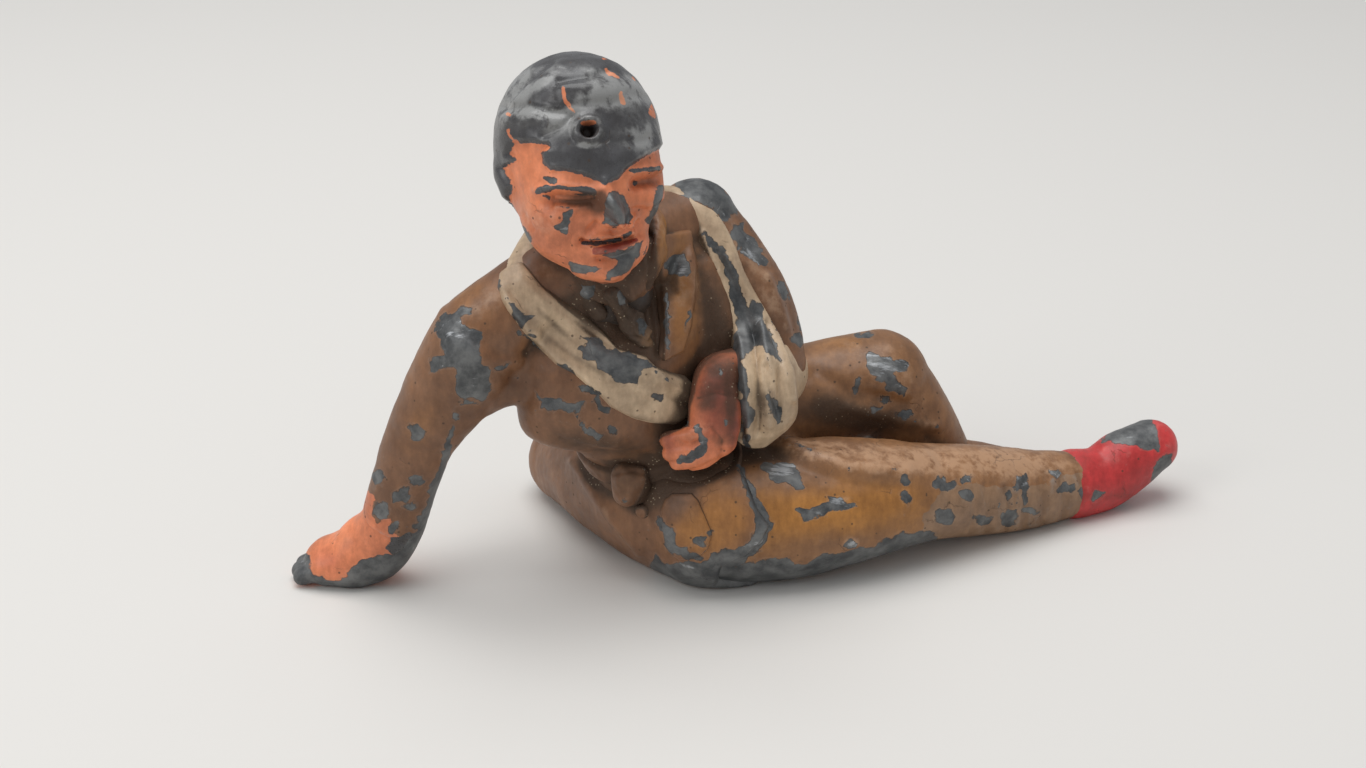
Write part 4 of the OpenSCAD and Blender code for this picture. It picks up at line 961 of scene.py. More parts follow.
# Head, face and hair in one skin, made level and then turned into place
headSet = {
    "skin": (0.078, 16), "faceGrid": (80, 72), "neckGrid": (30, 40),
    "at": (-5.82, -7.12, 26.71), "turns": (-9, -8, 22),
    "face": [
        [0, 0.66, 1.67, 4.3, 4.7, 4.55, 0, 0], [-0.2, -0.76, -0.23, 4.12, 3.75, 3.6, 0, 0],
        [-0.45, -1.23, -2.39, 3.9, 3.05, 2.62, 0, 0], [-0.25, -1.9, -4.2, 2.45, 1.95, 1.4, 0, 0],
    ],
    "neck": [[-5, -4, 18.5, 2.8], [-5.24, -4.93, 21.24, 2.7], [-5.51, -5.93, 23.74, 2.6]],
    "flesh": [
        536, 143, 548, 146, 541, 153, 543, 163, 551, 171, 566, 171, 586, 176, 603, 184, 618, 179, 626, 169, 646, 156,
        664, 146, 700, 150, 700, 215, 690, 250, 660, 285, 632, 300, 603, 306, 575, 292, 555, 276, 535, 252, 520, 232,
        512, 212, 511, 196, 513, 185, 505, 168, 518, 160, 511, 153, 516, 143,
    ],
    "hairLow": -2.3, "hairSlope": 0.8, "hairRise": 0.3, "hairStep": (-0.12, 0.3), "hairFade": (0, 0.4),
    "front": (-0.02, 0.2), "behind": 0.45, "steep": 4, "shownHair": 9,
    "ridges": [
        ([603, 188, 611, 204, 617, 214], 8, 0.62), ([607, 200, 619, 217], 7, 0.62),
        ([606, 221, 618, 222, 630, 217], 6, 0.42), ([552, 201, 572, 203, 590, 203], 8.5, -0.52),
        ([638, 185, 656, 181], 7, -0.55), ([538, 190, 562, 186, 594, 190], 5, 0.26), ([632, 172, 658, 168], 5, 0.24),
        ([556, 206, 574, 209, 590, 207], 3.2, 0.22), ([554, 199, 574, 201, 590, 200], 2.2, 0.12),
        ([583, 243, 600, 243, 618, 241, 634, 238], 2.4, -0.42), ([586, 236, 610, 235, 630, 232], 4.5, 0.24),
        ([594, 251, 612, 249, 630, 245], 4.5, 0.3), ([598, 259, 614, 259, 630, 254], 4, -0.22),
        ([596, 224, 586, 234, 580, 243], 4, -0.2), ([524, 214, 534, 229], 3, -0.12), ([634, 222, 640, 234], 4, -0.2),
        ([610, 227, 612, 233], 2.2, -0.12),
    ],
    "mounds": [
        (612, 272, 15, 10, 0.4), (556, 222, 18, 15, 0.34, 20), (650, 204, 9, 16, 0.3), (562, 178, 30, 8, 0.1),
        (548, 248, 16, 14, 0.12, 30), (574, 238, 9, 12, -0.16, 20),
    ],
    "hair": {"ridges": [
        ([505, 112, 530, 108, 552, 112, 574, 116], 4, -0.13), ([510, 121, 535, 119, 562, 124], 6, 0.1),
        ([553, 66, 530, 84, 508, 108], 3.4, -0.2), ([560, 72, 540, 88, 520, 104], 6, 0.12),
        ([560, 85, 585, 81, 605, 76], 3.4, -0.14), ([565, 92, 590, 90, 612, 92], 6, 0.1),
        ([560, 104, 590, 106, 610, 104], 5, -0.08), ([626, 96, 640, 100, 656, 112], 4, -0.14),
        ([545, 136, 562, 128, 572, 118], 3.4, -0.14), ([552, 152, 580, 152, 606, 160, 620, 158], 8, 0.12),
        ([622, 78, 640, 86, 655, 98], 3.6, -0.12), ([600, 138, 625, 146, 646, 140], 5, -0.08),
        ([604, 62, 622, 70, 640, 82], 5, 0.1),
    ]},
    "pit": (588, 131), "pitRim": (0.3, 11, 4.5), "pitDeep": (0.95, -9.5, -4),
}
earSet = {"at": (1.35, -0.35), "half": (1.15, 1.75), "rise": (0.55, 0.45), "hollow": (0.4, 0.7), "dip": 0.35,
          "side": (2.6, 3.4), "paint": (0.5, 1.1)}


def turned(points, turns):
    # p' = Rz Ry Rx p
    x, y, z = np.radians(turns)
    rx = np.array([[1, 0, 0], [0, math.cos(x), -math.sin(x)], [0, math.sin(x), math.cos(x)]])
    ry = np.array([[math.cos(y), 0, math.sin(y)], [0, 1, 0], [-math.sin(y), 0, math.cos(y)]])
    rz = np.array([[math.cos(z), -math.sin(z), 0], [math.sin(z), math.cos(z), 0], [0, 0, 1]])
    return points @ (rz @ ry @ rx).T


facePoints, faceQuads = limb(headSet["face"], *headSet["faceGrid"])
facePoints = turned(facePoints, headSet["turns"]) + np.array(headSet["at"])
neck = limb(headSet["neck"], *headSet["neckGrid"])
head = skinOf([(facePoints, faceQuads), neck], *headSet["skin"])
level = (head["verts"] - np.array(headSet["at"])) @ turned(np.eye(3), headSet["turns"]).T

# Ears: h = rise exp(-r^3) less dip exp(-r^2) in the hollow, on both sides of the head
flank = smoothStep(np.abs(level[:, 0]), *earSet["side"])
back, above = level[:, 1] - earSet["at"][0], level[:, 2] - earSet["at"][1]
ear = np.exp(-((back / earSet["half"][0]) ** 2 + (above / earSet["half"][1]) ** 2) ** 1.5) * flank
hollow = np.exp(-(back / earSet["hollow"][0]) ** 2 - (above / earSet["hollow"][1]) ** 2)
head = lift(head, np.where(level[:, 0] < 0, *earSet["rise"]) * ear - earSet["dip"] * flank * hollow)
head["uv"] = sight(head["verts"])

# Face and hair: the hair stands a little proud of the skin, with a vent pit in the crown
front = smoothStep(towards(head), *headSet["front"])
fleshField = np.minimum(inside(head["uv"], headSet["flesh"]), (towards(head) + headSet["behind"]) * headSet["steep"])
aboveHair = (level[:, 2] - headSet["hairLow"]) * headSet["hairSlope"]
hairField = np.minimum(-fleshField, aboveHair)
height = headSet["hairRise"] * smoothStep(hairField, *headSet["hairStep"])
height += reliefOf(head, headSet)
hairRelief = reliefOf(head, headSet["hair"]) * smoothStep(hairField, *headSet["hairFade"])
pitDistance = np.linalg.norm(head["uv"] - np.array(headSet["pit"]), axis=1)
rimHigh, rimAt, rimHalf = headSet["pitRim"]
pitDeep, pitLow, pitHigh = headSet["pitDeep"]
pit = rimHigh * np.exp(-((pitDistance - rimAt) / rimHalf) ** 2) - pitDeep * smoothStep(-pitDistance, pitLow, pitHigh)
height += hairRelief + pit * front
head = lift(head, height)
headMarks = {
    "bare": {
        "waver": 0.4,
        "outlines": [
            [609, 193, 617, 191, 624, 196, 633, 216, 629, 222, 616, 227, 603, 224, 604, 216, 606, 206],
            [563, 212, 573, 211, 571, 222, 566, 236, 553, 226, 561, 221],
            [570, 262, 596, 267, 601, 269, 586, 274, 571, 272],
            [599, 254, 620, 250, 643, 241, 639, 256, 629, 272, 606, 281, 608, 272, 618, 261, 606, 257],
        ],
        "strokes": [
            ([545, 178, 553, 181], 2.5), ([629, 234, 624, 237], 2), ([660, 189, 657, 206, 650, 220], 4),
            ([513, 212, 520, 226, 531, 240], 2.2),
        ],
    },
    "hair": {
        "waver": 0.4,
        "strokes": [
            ([540, 192, 547, 189, 554, 188], [3.6, 4.2, 2.0]), ([553, 188, 563, 187, 572, 188], [1.6, 2.6, 1.2]),
            ([573, 189, 582, 189, 592, 192], [1.6, 3.6, 3.8]), ([576, 194, 586, 195, 594, 198], [0.6, 1.4, 0.8]),
            ([544, 197, 550, 199], 1.2), ([632, 171, 658, 169], 2.2), ([583, 243, 600, 243, 618, 241], 2.2),
        ],
        "spots": [(635, 182, 2.6, 2.4), (588, 140, 2, 1)],
    },
    "slivers": {
        "waver": 0.4,
        "strokes": [
            ([563, 88, 565, 100, 574, 113], [1.6, 2.2, 1.4]), ([622, 94, 623, 102], 2.5), ([606, 70, 610, 74], 2),
            ([611, 74, 618, 78], 1.2), ([634, 78, 646, 85], 1.0), ([508, 130, 512, 138, 518, 144], 1.4),
        ],
        "spots": [(589, 123, 8, 3.5), (654, 110, 5, 8, -10), (606, 57, 4, 2), (508, 115, 2.5, 2), (545, 148, 4, 3)],
    },
    "lips": ([596, 251, 612, 249, 624, 245, 636, 240], [3.2, 3.6, 3.0, 1.6]),
    # painted shade in the eye sockets, beside the nose and in the crown's pit
    "shade_and_dirt": [
        (583, 202, 30, 11, 1.05, 4), (600, 196, 8, 9, 0.6), (604, 204, 5, 14, 0.5, 10), (646, 184, 12, 8, 0.5),
        (598, 208, 6, 14, 0.5, 10), (588, 132, 9, 8, 0.7),
    ],
    # painted highlights and reflections on the hair, on the cheek and on the pit's rim
    "highlight_and_rub": [
        (530, 205, 16, 34, 0.6), (545, 225, 20, 16, 0.5), (640, 215, 8, 20, 0.3), (512, 92, 15, 34, 2.0, 30),
        (612, 96, 34, 13, 2.2), (545, 112, 26, 6, 2.0), (600, 74, 40, 7, 1.2, 8), (588, 145, 10, 3, 2.4),
        (560, 124, 40, 14, 1.0), (642, 136, 20, 16, 1.5), (640, 92, 16, 8, 1.2, 20), (545, 80, 16, 5, 1.6, -40),
    ],
}
# hair is painted above its low edge where the view doesn't show it, and not over the ear on the unseen side
painted = np.minimum(-fleshField, aboveHair + headSet["shownHair"] * front)
besideEar = earSet["paint"][0] - earSet["paint"][1] * ear + headSet["shownHair"] * front
headMarks["hairField"] = np.where(level[:, 0] > 0, np.minimum(painted, besideEar), painted)
addPiece("headPiece", head, "flesh", ["head", "hair"], "flesh_paint", headMarks)


# Paint: chipped enamel over dark metal, one node group for every piece
def grow(tree, kind, inputs=(), **settings):
    # one node: sockets are linked, plain values are set
    node = tree.nodes.new("ShaderNode" + kind)
    for key, value in settings.items():
        setattr(node, key, value)
    for key, value in dict(inputs).items():
        if isinstance(value, bpy.types.NodeSocket):
            tree.links.new(value, node.inputs[key])
        else:
            node.inputs[key].default_value = value
    return node


enamelSet = {
    # noise: scale per millimetre, detail, roughness and stretch
    "clouds": {
        "jag": (2.6, 5.0, 0.62), "chance": (0.62, 6.0, 0.66), "fleck": (2.1, 3.0, 0.6), "tone": (0.35, 4.0, 0.55),
        "broad": (0.3, 6.0, 0.68), "brushed": (1.6, 4.0, 0.6, (1.4, 0.5, 0.45)), "fine": (3.5, 4.0, 0.6),
        "rubAndHighlight": (0.9, 5.0, 0.65), "dust": (1.1, 5.0, 0.65), "cracked": (0.4, 2.0, 0.55), "grains": (1.3, 3.0, 0.6),
        "metal": (0.8, 6.0, 0.65), "scrape": (0.9, 5.0, 0.7, (0.5, 2.6, 1.7)), "skin": (1.6, 3.0, 0.55),
        "crust": (4.5, 4.0, 0.7),
    },
    # smooth steps: low, high and the values at both, where they aren't 0 and 1
    "fades": {
        "edge": (-0.022, 0.022), "chipRimHighlight": (-0.14, -0.02), "line": (0.0, 0.05), "tone": (0.05, 0.95),
        "broad": (0.25, 0.75), "brushed": (0.3, 0.7), "rubbing": (0.25, 0.75), "rubAndHighlight": (0.1, 0.85, 0.0, 0.7),
        "dirtAndShade": (0.12, 1.15, 0.0, 0.86), "dot": (0.1, 0.19, 1.0, 0.0), "dotShare": (0.76, 0.8),
        "crack": (0.004, 0.02, 1.0, 0.0), "cracked": (0.58, 0.66), "grain": (0.12, 0.28, 1.0, 0.0),
        "grainShare": (0.3, 0.6), "grains": (0.46, 0.58), "grainDirt": (0.6, 1.3, 0.0, 0.9), "metal": (0.3, 0.72),
        "scrape": (0.64, 0.8), "crust": (0.5, 1.3),
    },
    # mottling: the darkest and the lightest share of the paint
    "mottles": {
        "broad": ((0.7, 0.66, 0.64, 1), (1.3, 1.3, 1.28, 1)), "brushed": ((0.88, 0.86, 0.84, 1), (1.1, 1.1, 1.1, 1)),
        "fine": ((0.82, 0.82, 0.82, 1), (1.16, 1.16, 1.16, 1)),
    },
    # how much each thing counts in the colour, the roughness and the height of the paint
    "shares": {"jag": 0.8, "rubAndHighlight": 0.45, "chipRimHighlight": 0.05, "dots": 0.75, "cracks": 0.38, "highlight_and_rub": 0.22, "scrapesAndHighlights": 0.6,
               "line": 0.35},
    "rough": {"dirtAndShade": 0.3, "fine": 0.25, "paint": 0.32, "clouded": 0.3, "metal": 0.33},
    "relief": {"skin": 0.35, "metal": 0.5, "crack": -0.4, "grain": 0.4, "crust": 1.1},
    "bump": {"Strength": 0.7, "Distance": 0.00007}, "spread": (0.9, -0.45),
    # chips of chance: where they start, how much sooner on unseen and on worn places, and how steep they are
    "jagged": 0.42, "chipStart": 0.735, "chipFree": 0.125, "chipWear": 0.1, "chipSteep": 2.2,
    "fleckStart": 0.78, "fleckWear": 0.12, "fleckSteep": 1.2,
    "cells": {"dot": 1.9, "grain": 4.4}, "crackCells": 0.42, "warp": {"Scale": 1.3, "Detail": 3.0},
    # colours of the painted highlight rim beside chips, of dirt with painted shade, and of dust grains
    "chipRimHighlight": (0.75, 0.7, 0.62, 1), "dirtAndShade": (0.055, 0.032, 0.018, 1), "grain": (0.5, 0.4, 0.27, 1),
    # metal colours, the brightest for scrapes and painted highlights; the rubbed colour of the second paint also gives
    # the hair its painted highlights and reflections
    "metalDark": (0.06, 0.063, 0.066, 1), "metalLight": (0.2, 0.203, 0.2, 1), "metalScrapeHighlight": (0.62, 0.64, 0.66, 1),
    "rubbedHighlitSecond": (0.36, 0.36, 0.35, 1), "metallic": 0.45,
}


def enamelGroup():
    # colour, roughness, metal and height of worn enamel from the fields of a point
    tree = bpy.data.node_groups.new("chippedEnamel", "ShaderNodeTree")
    # besides chips and tones, each point brings a field of dirt with painted shade and a field of painted highlights
    # with rubbed paint
    socketRows = [
        ("INPUT", "Float", ("Bare", "Second", "Tone", "Shade_and_dirt", "Wear", "Free", "Highlight_and_rub", "Seed", "Gloss")),
        ("INPUT", "Color", ("Paint", "Tone Paint", "Second Paint", "Rubbed And Highlit")),
        ("OUTPUT", "Color", ("Colour",)), ("OUTPUT", "Float", ("Roughness", "Metallic", "Height")),
    ]
    for way, kind, names in socketRows:
        for name in names:
            tree.interface.new_socket(name, in_out=way, socket_type="NodeSocket" + kind)
    given = tree.nodes.new("NodeGroupInput").outputs

    def maths(operation, kind="Math"):
        return lambda *values: grow(tree, kind, dict(enumerate(values)), operation=operation).outputs[0]

    plus, minus, times, most, scaled = (maths(x) for x in ("ADD", "SUBTRACT", "MULTIPLY", "MAXIMUM", "MULTIPLY_ADD"))
    moved, stretched = maths("ADD", "VectorMath"), maths("MULTIPLY", "VectorMath")
    coords = grow(tree, "TexCoord").outputs["Object"]
    place = grow(tree, "VectorMath", {0: coords, 3: 1 / mm}, operation="SCALE").outputs[0]
    place = moved(place, grow(tree, "CombineXYZ", {i: given["Seed"] for i in range(3)}).outputs[0])

    def cloud(key):
        scale, detail, rough, *stretch = enamelSet["clouds"][key]
        at = stretched(place, *stretch) if stretch else place
        inputs = {"Vector": at, "Scale": scale, "Detail": detail, "Roughness": rough}
        return grow(tree, "TexNoise", inputs).outputs["Fac"]

    def fade(value, key):
        names = ("From Min", "From Max", "To Min", "To Max")
        inputs = {"Value": value, **dict(zip(names, enamelSet["fades"][key]))}
        return grow(tree, "MapRange", inputs, interpolation_type="SMOOTHSTEP").outputs["Result"]

    def mixed(share, first, second, kind="MIX"):
        return grow(tree, "Mix", {0: share, 6: first, 7: second}, data_type="RGBA", blend_type=kind).outputs[2]

    def specks(key, channel):
        # round specks, in a share of the cells
        cells = grow(tree, "TexVoronoi", {"Vector": place, "Scale": enamelSet["cells"][key]})
        share = grow(tree, "SeparateColor", {0: cells.outputs["Color"]}).outputs[channel]
        return times(fade(cells.outputs["Distance"], key), fade(share, key + "Share"))

    # bare metal: the drawn field and chips of chance, with a jagged edge
    shares, roughOf, heights = enamelSet["shares"], enamelSet["rough"], enamelSet["relief"]
    jag = times(minus(cloud("jag"), 0.5), enamelSet["jagged"])
    start = scaled(given["Free"], -enamelSet["chipFree"], enamelSet["chipStart"])
    start = scaled(given["Wear"], -enamelSet["chipWear"], start)
    chance = times(minus(cloud("chance"), start), enamelSet["chipSteep"])
    fleckStart = scaled(given["Wear"], -enamelSet["fleckWear"], enamelSet["fleckStart"])
    fleck = times(minus(cloud("fleck"), fleckStart), enamelSet["fleckSteep"])
    field = most(plus(given["Bare"], jag), most(chance, fleck))
    bare = fade(field, "edge")
    # a painted highlight rim lies on the paint just beside each chip, and a painted shade line runs along the chip's
    # edge
    chipRimHighlight = times(fade(field, "chipRimHighlight"), minus(1.0, bare))
    line = minus(1.0, fade(maths("ABSOLUTE")(field), "line"))

    # paint: two tones, a second paint, mottling, rubbed places with painted highlights, and dirty places with painted
    # shade
    second = fade(plus(given["Second"], times(jag, shares["jag"])), "edge")
    tone = plus(given["Tone"], scaled(cloud("tone"), *enamelSet["spread"]))
    paint = mixed(fade(tone, "tone"), given["Paint"], given["Tone Paint"])
    paint = mixed(second, paint, given["Second Paint"])
    fine = cloud("fine")
    mottles = {"broad": fade(cloud("broad"), "broad"), "brushed": fade(cloud("brushed"), "brushed"), "fine": fine}
    for key, share in mottles.items():
        paint = mixed(1.0, paint, mixed(share, *enamelSet["mottles"][key]), "MULTIPLY")
    # rubbed paint on worn edges, and painted highlights from the highlight field, lighten the paint towards its rubbed
    # colour
    rubAndHighlight = times(scaled(given["Wear"], shares["rubAndHighlight"], given["Highlight_and_rub"]), fade(cloud("rubAndHighlight"), "rubbing"))
    paint = mixed(fade(rubAndHighlight, "rubAndHighlight"), paint, mixed(second, given["Rubbed And Highlit"], enamelSet["rubbedHighlitSecond"]))
    paint = mixed(times(chipRimHighlight, shares["chipRimHighlight"]), paint, enamelSet["chipRimHighlight"])
    # dirt and painted shade: the dirt-and-shade field with dust, dark dots and cracks, all towards one dark colour
    dirtAndShade = fade(plus(given["Shade_and_dirt"], scaled(cloud("dust"), *enamelSet["spread"])), "dirtAndShade")
    dirtAndShade = most(dirtAndShade, times(specks("dot", 0), shares["dots"]))
    warp = grow(tree, "TexNoise", {"Vector": place, **enamelSet["warp"]}).outputs["Color"]
    crack = grow(tree, "TexVoronoi", {"Vector": moved(place, warp), "Scale": enamelSet["crackCells"]},
                 feature="DISTANCE_TO_EDGE").outputs["Distance"]
    crack = times(fade(crack, "crack"), fade(cloud("cracked"), "cracked"))
    dirtAndShade = most(dirtAndShade, times(crack, shares["cracks"]))
    paint = mixed(dirtAndShade, paint, enamelSet["dirtAndShade"])
    grain = times(specks("grain", 1), fade(cloud("grains"), "grains"))
    grain = times(grain, fade(given["Shade_and_dirt"], "grainDirt"))
    paint = mixed(grain, paint, enamelSet["grain"])

    # metal: dull, clouded, with a few brighter scrapes and painted highlights
    clouded = cloud("metal")
    metal = mixed(fade(clouded, "metal"), enamelSet["metalDark"], enamelSet["metalLight"])
    bright = fade(scaled(given["Highlight_and_rub"], shares["highlight_and_rub"], cloud("scrape")), "scrape")
    metal = mixed(times(bright, shares["scrapesAndHighlights"]), metal, enamelSet["metalScrapeHighlight"])

    # the painted shade line along chip edges darkens the colour
    colour = mixed(times(line, shares["line"]), mixed(bare, paint, metal), enamelSet["dirtAndShade"])
    shine = scaled(dirtAndShade, roughOf["dirtAndShade"], scaled(fine, roughOf["fine"], roughOf["paint"]))
    shine = minus(shine, times(second, given["Gloss"]))
    dull = scaled(clouded, roughOf["clouded"], roughOf["metal"])
    rough = grow(tree, "Mix", {"Factor": bare, "A": shine, "B": dull}, data_type="FLOAT")
    skin = scaled(cloud("skin"), heights["skin"], minus(1.0, bare))
    skin = scaled(crack, heights["crack"], scaled(times(bare, clouded), heights["metal"], skin))
    crust = times(cloud("crust"), fade(given["Shade_and_dirt"], "crust"))
    skin = scaled(crust, heights["crust"], scaled(grain, heights["grain"], skin))
    out = tree.nodes.new("NodeGroupOutput")
    results = {"Colour": colour, "Roughness": rough.outputs[0], "Metallic": times(bare, enamelSet["metallic"]),
               "Height": skin}
    for name, socket in results.items():
        tree.links.new(socket, out.inputs[name])
    return tree


enamel = enamelGroup()
# Paints: the main one, its other tone, a second paint, the rubbed look with its painted highlights and where the noise
# is read
looks = {
    "brown": ((0.2, 0.095, 0.045), (0.32, 0.14, 0.038), (0.66, 0.21, 0.095), (0.5, 0.32, 0.2), 0.0),
    "breeches": ((0.25, 0.12, 0.05), (0.38, 0.165, 0.035), (0.27, 0.16, 0.09), (0.56, 0.33, 0.19), 13.0),
    "dark": ((0.085, 0.05, 0.03), (0.2, 0.11, 0.05), (0.1, 0.06, 0.04), (0.2, 0.13, 0.08), 5.0),
    "sling": ((0.52, 0.39, 0.26), (0.45, 0.34, 0.22), (0.5, 0.37, 0.25), (0.66, 0.54, 0.4), 31.0),
    "flesh": ((0.66, 0.21, 0.095), (0.3, 0.055, 0.035), (0.062, 0.062, 0.066), (0.75, 0.36, 0.22), 47.0, 0.16),
    "red": ((0.5, 0.035, 0.035), (0.42, 0.05, 0.04), (0.2, 0.1, 0.05), (0.68, 0.2, 0.17), 3.0),
}


def enamelMaterial(name, look, bare=None):
    # the shared group with a look's paints; a given bareness takes the place of the fields
    material = bpy.data.materials.new(name)
    material.use_nodes = True
    tree = material.node_tree
    colours, (seed, gloss) = look[:4], (*look[4:], 0.0)[:2]
    inputs = {"Seed": seed, "Gloss": gloss}
    for key, colour in zip(("Paint", "Tone Paint", "Second Paint", "Rubbed And Highlit"), colours):
        inputs[key] = (*colour, 1)
    if bare is None:
        for key in ("Bare", "Second", "Tone", "Shade_and_dirt", "Wear", "Free", "Highlight_and_rub"):
            inputs[key] = grow(tree, "Attribute", attribute_name=key.lower(), attribute_type="GEOMETRY").outputs["Fac"]
    else:
        inputs["Bare"] = bare
    paint = grow(tree, "Group", inputs, node_tree=enamel)
    bump = grow(tree, "Bump", {"Height": paint.outputs["Height"], **enamelSet["bump"]})
    shader = tree.nodes["Principled BSDF"].inputs
    for key, socket in (("Normal", bump.outputs["Normal"]), ("Base Color", paint.outputs["Colour"]),
                        ("Roughness", paint.outputs["Roughness"]), ("Metallic", paint.outputs["Metallic"])):
        tree.links.new(socket, shader[key])
    return material


materials = {name: enamelMaterial(name + "Enamel", look) for name, look in looks.items()}

# the disc under the seat keeps the modelled form, in bare metal
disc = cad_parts["rest_disc"]
disc.data.materials.clear()
disc.data.materials.append(enamelMaterial("discMetal", looks["dark"], bare=4.0))

# Crowding: how much of the space just outside a point is filled by the figure's surfaces; it paints shade into creases
# and between parts
crowdSet = {"cell": 0.35, "blur": 2, "rounds": 2, "away": 0.9, "margin": 4, "shadeSteps": (1.25, 2.7)}


def crowdGrid():
    # the surface's area per cell, blurred by a moving mean along each axis
    points = np.concatenate([p["skin"]["verts"] for p in pieces])
    weights = np.concatenate([np.full(len(p["skin"]["verts"]), p["skin"]["area"]) for p in pieces])
    low = points.min(0) - crowdSet["margin"]
    shape = np.ceil((points.max(0) + crowdSet["margin"] - low) / crowdSet["cell"]).astype(int)
    cell = ((points - low) / crowdSet["cell"]).astype(int)
    grid = np.bincount(np.ravel_multi_index(cell.T, shape), weights, np.prod(shape)).reshape(shape)
    steps = range(-crowdSet["blur"], crowdSet["blur"] + 1)
    for _ in range(crowdSet["rounds"]):
        for axis in range(3):
            grid = sum(np.roll(grid, k, axis) for k in steps) / len(steps)
    return grid, low


def crowding(skin, grid, low):
    # the grid's value at p + away n, in between the eight cells around it
    q = (skin["verts"] + skin["normals"] * crowdSet["away"] - low) / crowdSet["cell"] - 0.5
    i = np.floor(q).astype(int)
    f = q - i
    total = np.zeros(len(q))
    for corner in np.ndindex(2, 2, 2):
        total += np.prod(abs(1 - np.array(corner) - f), axis=1) * grid[tuple((i + corner).T)]
    return total


# Paint fields; the pairs are smooth steps, of the bend of the surface or of how far it faces the eye
paintSet = {
    "worn": (0.9, 3.5), "hollow": (0.8, 3.0), "hollowShadeAndDirt": 0.25, "means": 6, "evened": 2,
    "shown": (-0.05, 0.3), "unseen": (-0.1, 0.25), "behind": -0.1, "lipEdge": (-0.06, 0.04), "lipTone": 1.8,
    # a mark fades out where the surface turns away from the eye
    "bareSteep": 3, "bareRise": 0.3, "sliverFrom": 0.2, "hairFrom": -0.1, "steep": 4,
}


def paintFields(piece, grid, low, level):
    # what the paint needs to know at each point: drawn marks, painted shade where surfaces crowd, dirt with painted
    # shade in hollows, and wear on edges
    skin, marks = piece["skin"], piece["marks"]
    verts, normals, uv, edges = skin["verts"], skin["normals"], sight(skin["verts"]), skin["edges"]
    seen = towards(skin)
    shown = smoothStep(seen, *paintSet["shown"])

    def drawnField(key):
        far = np.full(len(uv), castSet["far"])
        return np.where(seen > paintSet["behind"], markField(uv, marks[key]), far) if key in marks else far

    mean = spread(verts, edges, paintSet["means"])
    bend = spread(np.einsum("ni,ni->n", verts - mean, normals), edges, paintSet["evened"])
    bend = bend / max(np.std(bend), 1e-6)
    fields = {key: softField(uv, marks.get(key, ())) * shown for key in ("tone", "shade_and_dirt", "highlight_and_rub")}
    # painted shade where the figure's surfaces crowd the space just outside a point; hollows get dirt with painted
    # shade
    fields["shade_and_dirt"] = fields["shade_and_dirt"] + smoothStep(crowding(skin, grid, low) / level, *crowdSet["shadeSteps"])
    fields["shade_and_dirt"] = fields["shade_and_dirt"] + paintSet["hollowShadeAndDirt"] * smoothStep(-bend, *paintSet["hollow"])
    fields["wear"] = smoothStep(bend, *paintSet["worn"])
    fields["free"] = 1 - smoothStep(seen, *paintSet["unseen"])
    fields["bare"] = np.minimum(drawnField("bare"), seen * paintSet["bareSteep"] + paintSet["bareRise"])
    fields["second"] = drawnField("second")
    if "hairField" in marks:
        slivers = np.minimum(markField(uv, marks["slivers"]), (seen - paintSet["sliverFrom"]) * paintSet["steep"])
        drawn = np.minimum(markField(uv, marks["hair"]), (seen - paintSet["hairFrom"]) * paintSet["steep"])
        lips = stroke(uv, *marks["lips"])
        fields["tone"] = paintSet["lipTone"] * smoothStep(lips, *paintSet["lipEdge"])
        fields["bare"] = np.minimum(fields["bare"], -lips)
        fields["second"] = np.minimum(np.maximum(np.minimum(marks["hairField"], -slivers), drawn), -lips)
    return fields


def placePiece(piece, fields):
    # the piece as an object with its paint fields, riding the figure in place of the CAD's nodes
    mesh = meshFrom(piece["name"], piece["skin"]["verts"] * mm, piece["skin"]["faces"])
    for key, values in fields.items():
        layer = mesh.attributes.new(key, "FLOAT", "POINT")
        layer.data.foreach_set("value", np.asarray(values, np.float32))
    mesh.polygons.foreach_set("use_smooth", np.ones(len(mesh.polygons), bool))
    mesh.materials.append(materials[piece["look"]])
    obj = stand(piece["name"], mesh)
    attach(obj, "root")
    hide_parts(*piece["nodes"])


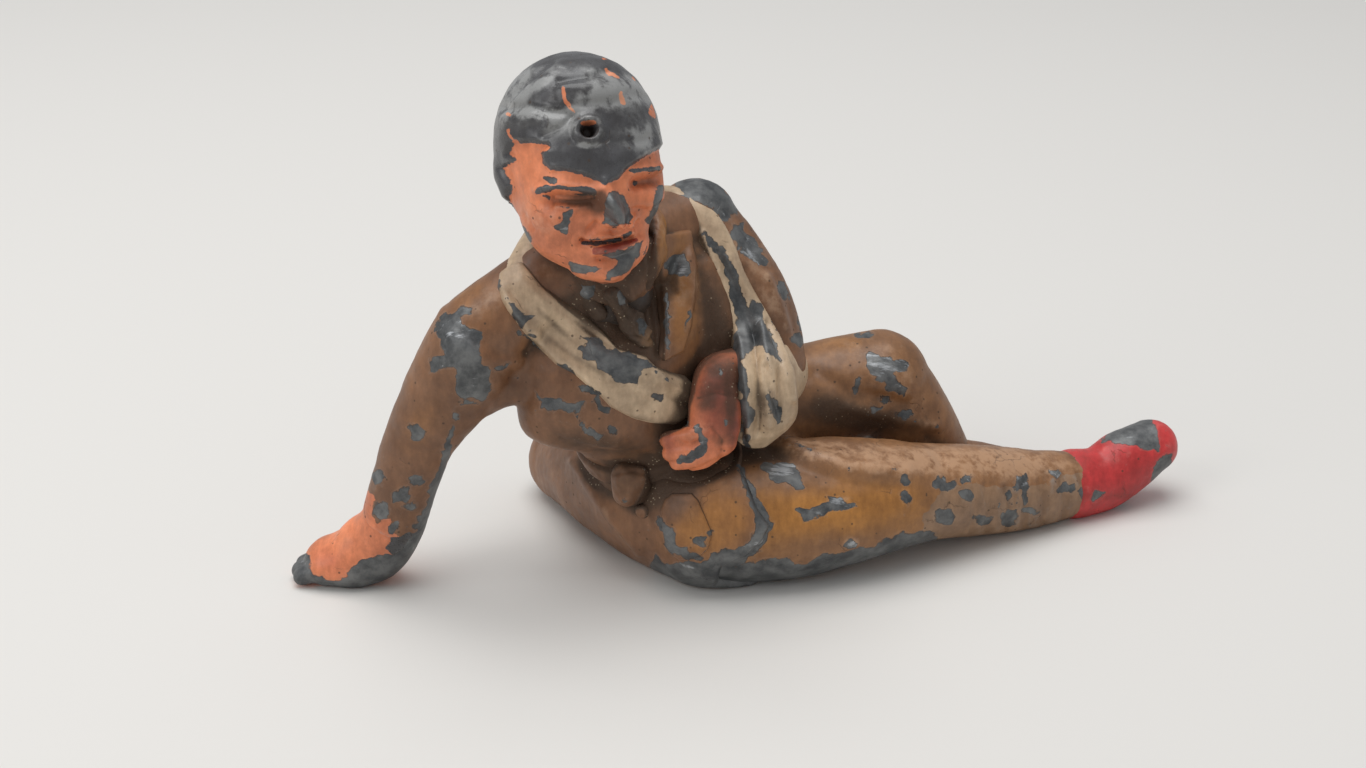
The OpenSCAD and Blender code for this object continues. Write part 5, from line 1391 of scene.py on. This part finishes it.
for piece in pieces:
    skin = piece["skin"]
    a, b, c, d = (skin["verts"][skin["faces"][:, i]] for i in range(4))
    skin["area"] = np.linalg.norm(np.cross(c - a, d - b), axis=1).sum() / 2 / len(skin["verts"])
crowdMap, crowdLow = crowdGrid()
level = np.median(crowding(pieces[0]["skin"], crowdMap, crowdLow))
for piece in pieces:
    placePiece(piece, paintFields(piece, crowdMap, crowdLow, level))
print("painted", len(pieces), "pieces")

# Stage, light and camera
floorSet = {"half": 0.9, "colour": (0.74, 0.72, 0.685, 1), "rough": 0.7}
corners = np.array([[-1, -1, 0], [1, -1, 0], [1, 1, 0], [-1, 1, 0]]) * floorSet["half"]
floor = stand("floor", meshFrom("floor", corners, np.arange(4)[None]))
floorMaterial = bpy.data.materials.new("paleFloor")
floorMaterial.use_nodes = True
floorInputs = floorMaterial.node_tree.nodes["Principled BSDF"].inputs
floorInputs["Base Color"].default_value = floorSet["colour"]
floorInputs["Roughness"].default_value = floorSet["rough"]
floor.data.materials.append(floorMaterial)

worldSet = {"colour": (0.9, 0.92, 0.95, 1), "strength": 0.45}
world = bpy.data.worlds.new("studio")
bpy.context.scene.world = world
world.use_nodes = True
worldInputs = world.node_tree.nodes["Background"].inputs
worldInputs["Color"].default_value = worldSet["colour"]
worldInputs["Strength"].default_value = worldSet["strength"]

# area lights: name, place in metres, turn in radians, size and power
lightSet = [
    ("overhead", (-0.05, 0.02, 0.35), (0, 0, 0), 0.3, 0.9),
    ("window", (-0.3, -0.2, 0.25), (0.9, 0, -0.95), 0.2, 0.35),
]
for name, at, turn, size, power in lightSet:
    data = bpy.data.lights.new(name, "AREA")
    data.size, data.energy = size, power
    lamp = stand(name, data)
    lamp.location, lamp.rotation_euler = at, turn

cameraSet = {"at": (-0.0005, -0.11215, 0.06062), "turn": (66.0, 0, 0), "lens": 52.29, "sensor": 36, "near": 0.005}
cameraData = bpy.data.cameras.new("camera")
cameraData.sensor_width = cameraSet["sensor"]
cameraData.lens = cameraSet["lens"]
cameraData.clip_start = cameraSet["near"]
camera = stand("camera", cameraData)
camera.location = cameraSet["at"]
camera.rotation_euler = [math.radians(x) for x in cameraSet["turn"]]
bpy.context.scene.camera = camera
bpy.context.scene.view_settings.view_transform = "Standard"
